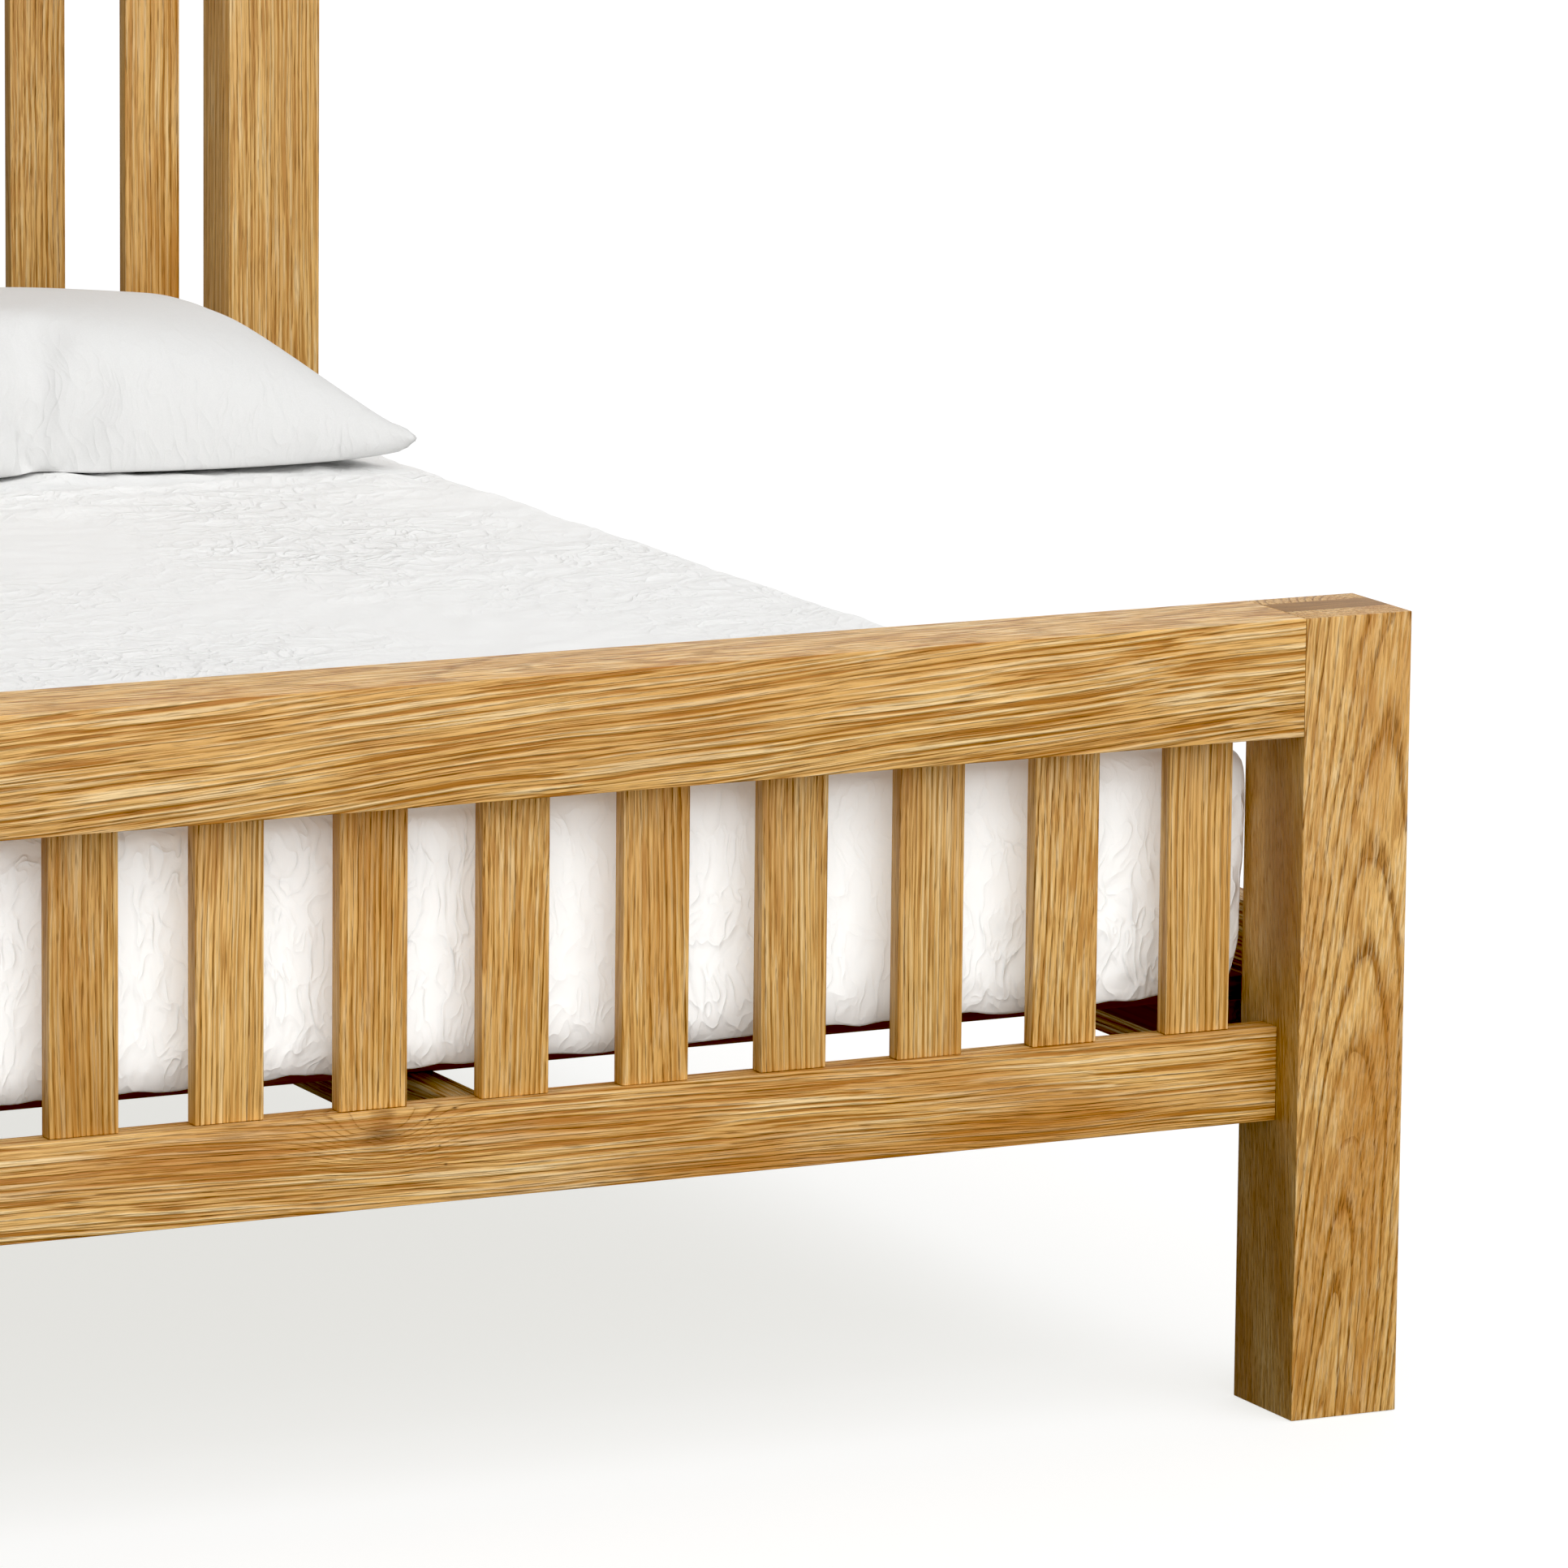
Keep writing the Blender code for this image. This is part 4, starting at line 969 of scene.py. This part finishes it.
class BED_OT_pillows(bpy.types.Operator):
    """Make the two pillows: flat cases filled by a cloth simulation, then laid on the sheet"""
    bl_idname = "bed.pillows"
    bl_label = "Pillows"

    SEAM_HEIGHT = 0.06      # shares of the pillow's height: its seam, how much higher the tips of its
    TIP_RISE = 0.13         # corners turn up, and its crown
    CROWN = 0.87
    TIP_REACH = 0.012       # how far the corner seams pull the tips out, in metres

    def execute(self, context):
        bedding = context.scene.bed_bedding
        material = washed_cotton("washed cotton pillowcase", bedding, bedding.pillowcase, 0.026, 0.0030,
                                 (1.0, 0.5, 0.35))
        filled = self.filled_case(bedding)
        for side, sign in SIDES:
            low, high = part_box(f"pillow_{side}")
            bm = filled.copy()
            if sign < 0:
                bmesh.ops.scale(bm, vec=(-1, 1, 1), verts=bm.verts)
                bmesh.ops.reverse_faces(bm, faces=bm.faces)
            self.lay(bm, low, high)
            piece = new_object(f"pillow_{side}_cotton", bm, [material], f"pillow_{side}")
            piece.data.shade_smooth()
            set_rumple(piece, [0.12 + 0.30 * (1.0 - abs(vert.normal.z)) for vert in piece.data.vertices])
            smooth = piece.modifiers.new("smooth", 'SUBSURF')
            smooth.levels = smooth.render_levels = 1
            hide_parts(f"pillow_{side}")
        filled.free()
        return {'FINISHED'}

    def filled_case(self, bedding):
        """Two layers sewn round their edge and blown up by the filling."""
        wide, deep = bedding.pillow_cut_width, bedding.pillow_cut_depth
        bm = bmesh.new()
        bmesh.ops.create_grid(bm, x_segments=round(wide / bedding.pillow_net),
                              y_segments=round(deep / bedding.pillow_net), size=0.5)
        bmesh.ops.scale(bm, vec=(wide, deep, 1), verts=bm.verts)
        for vert in bm.verts:
            u, v = 2 * vert.co.x / wide, 2 * vert.co.y / deep
            if not vert.is_boundary:
                vert.co.z = 0.012 + 0.03 * (1 - u ** 4) * (1 - v ** 4)
        lower = bmesh.ops.duplicate(bm, geom=bm.verts[:] + bm.edges[:] + bm.faces[:])["geom"]
        lower_verts = [item for item in lower if isinstance(item, bmesh.types.BMVert)]
        lower_faces = [item for item in lower if isinstance(item, bmesh.types.BMFace)]
        bmesh.ops.scale(bm, vec=(1, 1, -1), verts=lower_verts)
        bmesh.ops.reverse_faces(bm, faces=lower_faces)
        bmesh.ops.remove_doubles(bm, verts=bm.verts, dist=0.0005)
        bmesh.ops.recalc_face_normals(bm, faces=bm.faces)
        case = working_object("pillow_case", bm)
        cloth = case.modifiers.new("cloth", 'CLOTH')
        settings = cloth.settings
        settings.quality = 6
        settings.mass = 0.15
        settings.tension_stiffness = settings.compression_stiffness = 25
        settings.shear_stiffness = 8
        settings.bending_stiffness = 0.15
        settings.use_pressure = True
        settings.uniform_pressure_force = 5.0
        settings.effector_weights.gravity = 0.0
        cloth.collision_settings.use_collision = False
        return simulate(case, bedding.pillow_frames)

    def lay(self, bm, low, high):
        """Fit the filled case to its place: weight flattens its underside and its crown."""
        inner = [vert for vert in bm.verts if abs(vert.co.z) > 0.02]
        for _ in range(5):
            bmesh.ops.smooth_vert(bm, verts=inner, factor=0.5, use_axis_x=True, use_axis_y=True, use_axis_z=True)
        points = np.array([vert.co[:] for vert in bm.verts])
        lowest, highest = points.min(0), points.max(0)
        room = high - low
        across = min(room.x / (highest[0] - lowest[0]), room.y / (highest[1] - lowest[1]))
        middle = (low + high) / 2
        half = (highest[2] - lowest[2]) / 2
        for vert in bm.verts:
            z = (vert.co.z - (lowest[2] + highest[2]) / 2) / half
            u = 2 * vert.co.x / (highest[0] - lowest[0])
            v = 2 * vert.co.y / (highest[1] - lowest[1])
            seam = self.SEAM_HEIGHT + self.TIP_RISE * min(1.0, abs(u * v)) ** 2.5
            if z < 0:
                z = seam * (1.0 - abs(z) ** 0.4)
            else:
                z = seam + (self.CROWN - seam) * z * (1.42 - 0.42 * z * z)
            tip = self.TIP_REACH * min(1.0, abs(u * v)) ** 8
            vert.co = (middle.x + (vert.co.x + math.copysign(tip, u)) * across,
                       middle.y + (vert.co.y + math.copysign(tip, v)) * across, low.z + room.z * z)


# ---------------------------------------------------------------------------------------- stage
class BED_OT_stage(bpy.types.Operator):
    """Make the floor, the light and the camera"""
    bl_idname = "bed.stage"
    bl_label = "Stage"

    SUNS = (("key", 40, (0.28, -0.44, 0.85)),        # name, width in degrees, and where it stands
            ("front", 70, (-0.10, -0.95, 0.27)),
            ("back", 70, (0.42, 0.82, 0.38)))
    STRIP_COLOUR = (0.84, 0.94, 1.0)
    STRIP_GAP = 0.004                                # between the foot's slats and the strip
    SEEN = 1.1                                       # brightness of the background that the camera sees

    def execute(self, context):
        stage = context.scene.bed_stage
        self.make_floor(stage)
        self.make_light(context, stage)
        self.make_camera(context, stage)
        view = context.scene.view_settings
        view.view_transform = 'Standard'
        view.use_curve_mapping = True
        view.curve_mapping.black_level = (stage.contrast,) * 3
        view.curve_mapping.update()
        return {'FINISHED'}

    def make_floor(self, stage):
        """A plain pale floor that glows a little, so that only the shade under the bed shows on it."""
        bm = bmesh.new()
        bmesh.ops.create_grid(bm, x_segments=1, y_segments=1, size=60,
                              matrix=Matrix.Translation((0, 0, -0.0005)))
        mesh = bpy.data.meshes.new("floor")
        bm.to_mesh(mesh)
        bm.free()
        floor = bpy.data.objects.new("floor", mesh)
        bpy.context.scene.collection.objects.link(floor)
        material, tree, shader = new_material("plain pale floor")
        feed(tree, shader, {"Base Color": linear(stage.floor), "Roughness": 1.0, "Specular IOR Level": 0.0,
                            "Emission Color": linear(stage.floor_glow), "Emission Strength": 1.0})
        mesh.materials.append(material)
        floor.visible_diffuse = False
        floor.visible_glossy = False

    def make_light(self, context, stage):
        """Even light from all round, brighter from above, and three large soft lights and a strip."""
        world = bpy.data.worlds.new("studio")
        context.scene.world = world
        world.use_nodes = True
        tree = world.node_tree
        tree.nodes.clear()
        path = add(tree, "ShaderNodeLightPath")
        way = add(tree, "ShaderNodeTexCoord").outputs["Generated"]
        height = add(tree, "ShaderNodeSeparateXYZ", {0: way}).outputs["Z"]
        level = add(tree, "ShaderNodeMapRange", {"Value": height, "From Min": -0.3, "From Max": 0.3,
                                                 "To Min": stage.ground, "To Max": stage.sky})
        fill = add(tree, "ShaderNodeBackground", {"Color": (1, 1, 1, 1), "Strength": level})
        seen = add(tree, "ShaderNodeBackground", {"Color": (1, 1, 1, 1), "Strength": self.SEEN})
        choose = add(tree, "ShaderNodeMixShader", {0: path.outputs["Is Camera Ray"], 1: fill, 2: seen})
        add(tree, "ShaderNodeOutputWorld", {"Surface": choose})
        for name, width, towards in self.SUNS:
            lamp = bpy.data.lights.new(name, 'SUN')
            lamp.energy = getattr(stage, name + "_light")
            lamp.angle = math.radians(width)
            light = bpy.data.objects.new(name, lamp)
            light.rotation_euler = Vector(towards).to_track_quat('Z', 'Y').to_euler()
            context.scene.collection.objects.link(light)
        slat_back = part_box("foot_slat_01")[1].y
        left, right = between_posts("foot")
        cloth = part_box("fitted_sheet")
        lamp = bpy.data.lights.new("strip", 'AREA')
        lamp.shape = 'RECTANGLE'
        lamp.size, lamp.size_y = right - left - 0.01, cloth[1].z - cloth[0].z
        lamp.energy = stage.strip_light
        lamp.color = self.STRIP_COLOUR
        strip = bpy.data.objects.new("strip", lamp)
        strip.location = ((left + right) / 2, slat_back + self.STRIP_GAP, (cloth[0].z + cloth[1].z) / 2)
        strip.rotation_euler = (math.pi / 2, 0, 0)
        strip.visible_camera = False
        strip.visible_glossy = False
        context.scene.collection.objects.link(strip)

    def make_camera(self, context, stage):
        """The camera stands at the foot's left and looks down a little with a long lens."""
        camera_data = bpy.data.cameras.new("camera")
        camera_data.sensor_width = 36.0
        camera_data.lens = stage.camera_lens
        camera_data.clip_end = 200.0
        camera = bpy.data.objects.new("camera", camera_data)
        camera.matrix_world = (Matrix.Translation(stage.camera_place)
                               @ Matrix.Rotation(-stage.camera_yaw, 4, 'Z')
                               @ Matrix.Rotation(math.pi / 2 - stage.camera_pitch, 4, 'X')
                               @ Matrix.Rotation(stage.camera_roll, 4, 'Z'))
        context.scene.collection.objects.link(camera)
        context.scene.camera = camera


# ---------------------------------------------------------------------------------------- add-on
class BED_PT_panel(bpy.types.Panel):
    """Buttons that build the bed piece by piece"""
    bl_idname = "BED_PT_panel"
    bl_label = "Slatted bed"
    bl_space_type = 'VIEW_3D'
    bl_region_type = 'UI'
    bl_category = "Bed"

    def draw(self, context):
        for operator in OPERATORS:
            self.layout.operator(operator.bl_idname)
        for name in SETTINGS:
            self.layout.label(text=name)
            group = getattr(context.scene, name)
            for key in group.bl_rna.properties.keys()[2:]:
                self.layout.prop(group, key)


SETTINGS = {
    "bed_timber": BedTimberSettings,
    "bed_hardware": BedHardwareSettings,
    "bed_bedding": BedBeddingSettings,
    "bed_stage": BedStageSettings,
}
OPERATORS = (BED_OT_posts, BED_OT_rails, BED_OT_end_slats, BED_OT_sides, BED_OT_base, BED_OT_hardware,
             BED_OT_mattress, BED_OT_sheet, BED_OT_pillows, BED_OT_stage)


def register():
    for cls in (*SETTINGS.values(), *OPERATORS, BED_PT_panel):
        bpy.utils.register_class(cls)
    for name, group in SETTINGS.items():
        setattr(bpy.types.Scene, name, PointerProperty(type=group))


def unregister():
    for name in SETTINGS:
        delattr(bpy.types.Scene, name)
    for cls in reversed((*SETTINGS.values(), *OPERATORS, BED_PT_panel)):
        bpy.utils.unregister_class(cls)


def main():
    register()
    for operator in OPERATORS:
        group, name = operator.bl_idname.split(".")
        getattr(getattr(bpy.ops, group), name)()


if __name__ == "__main__":
    main()
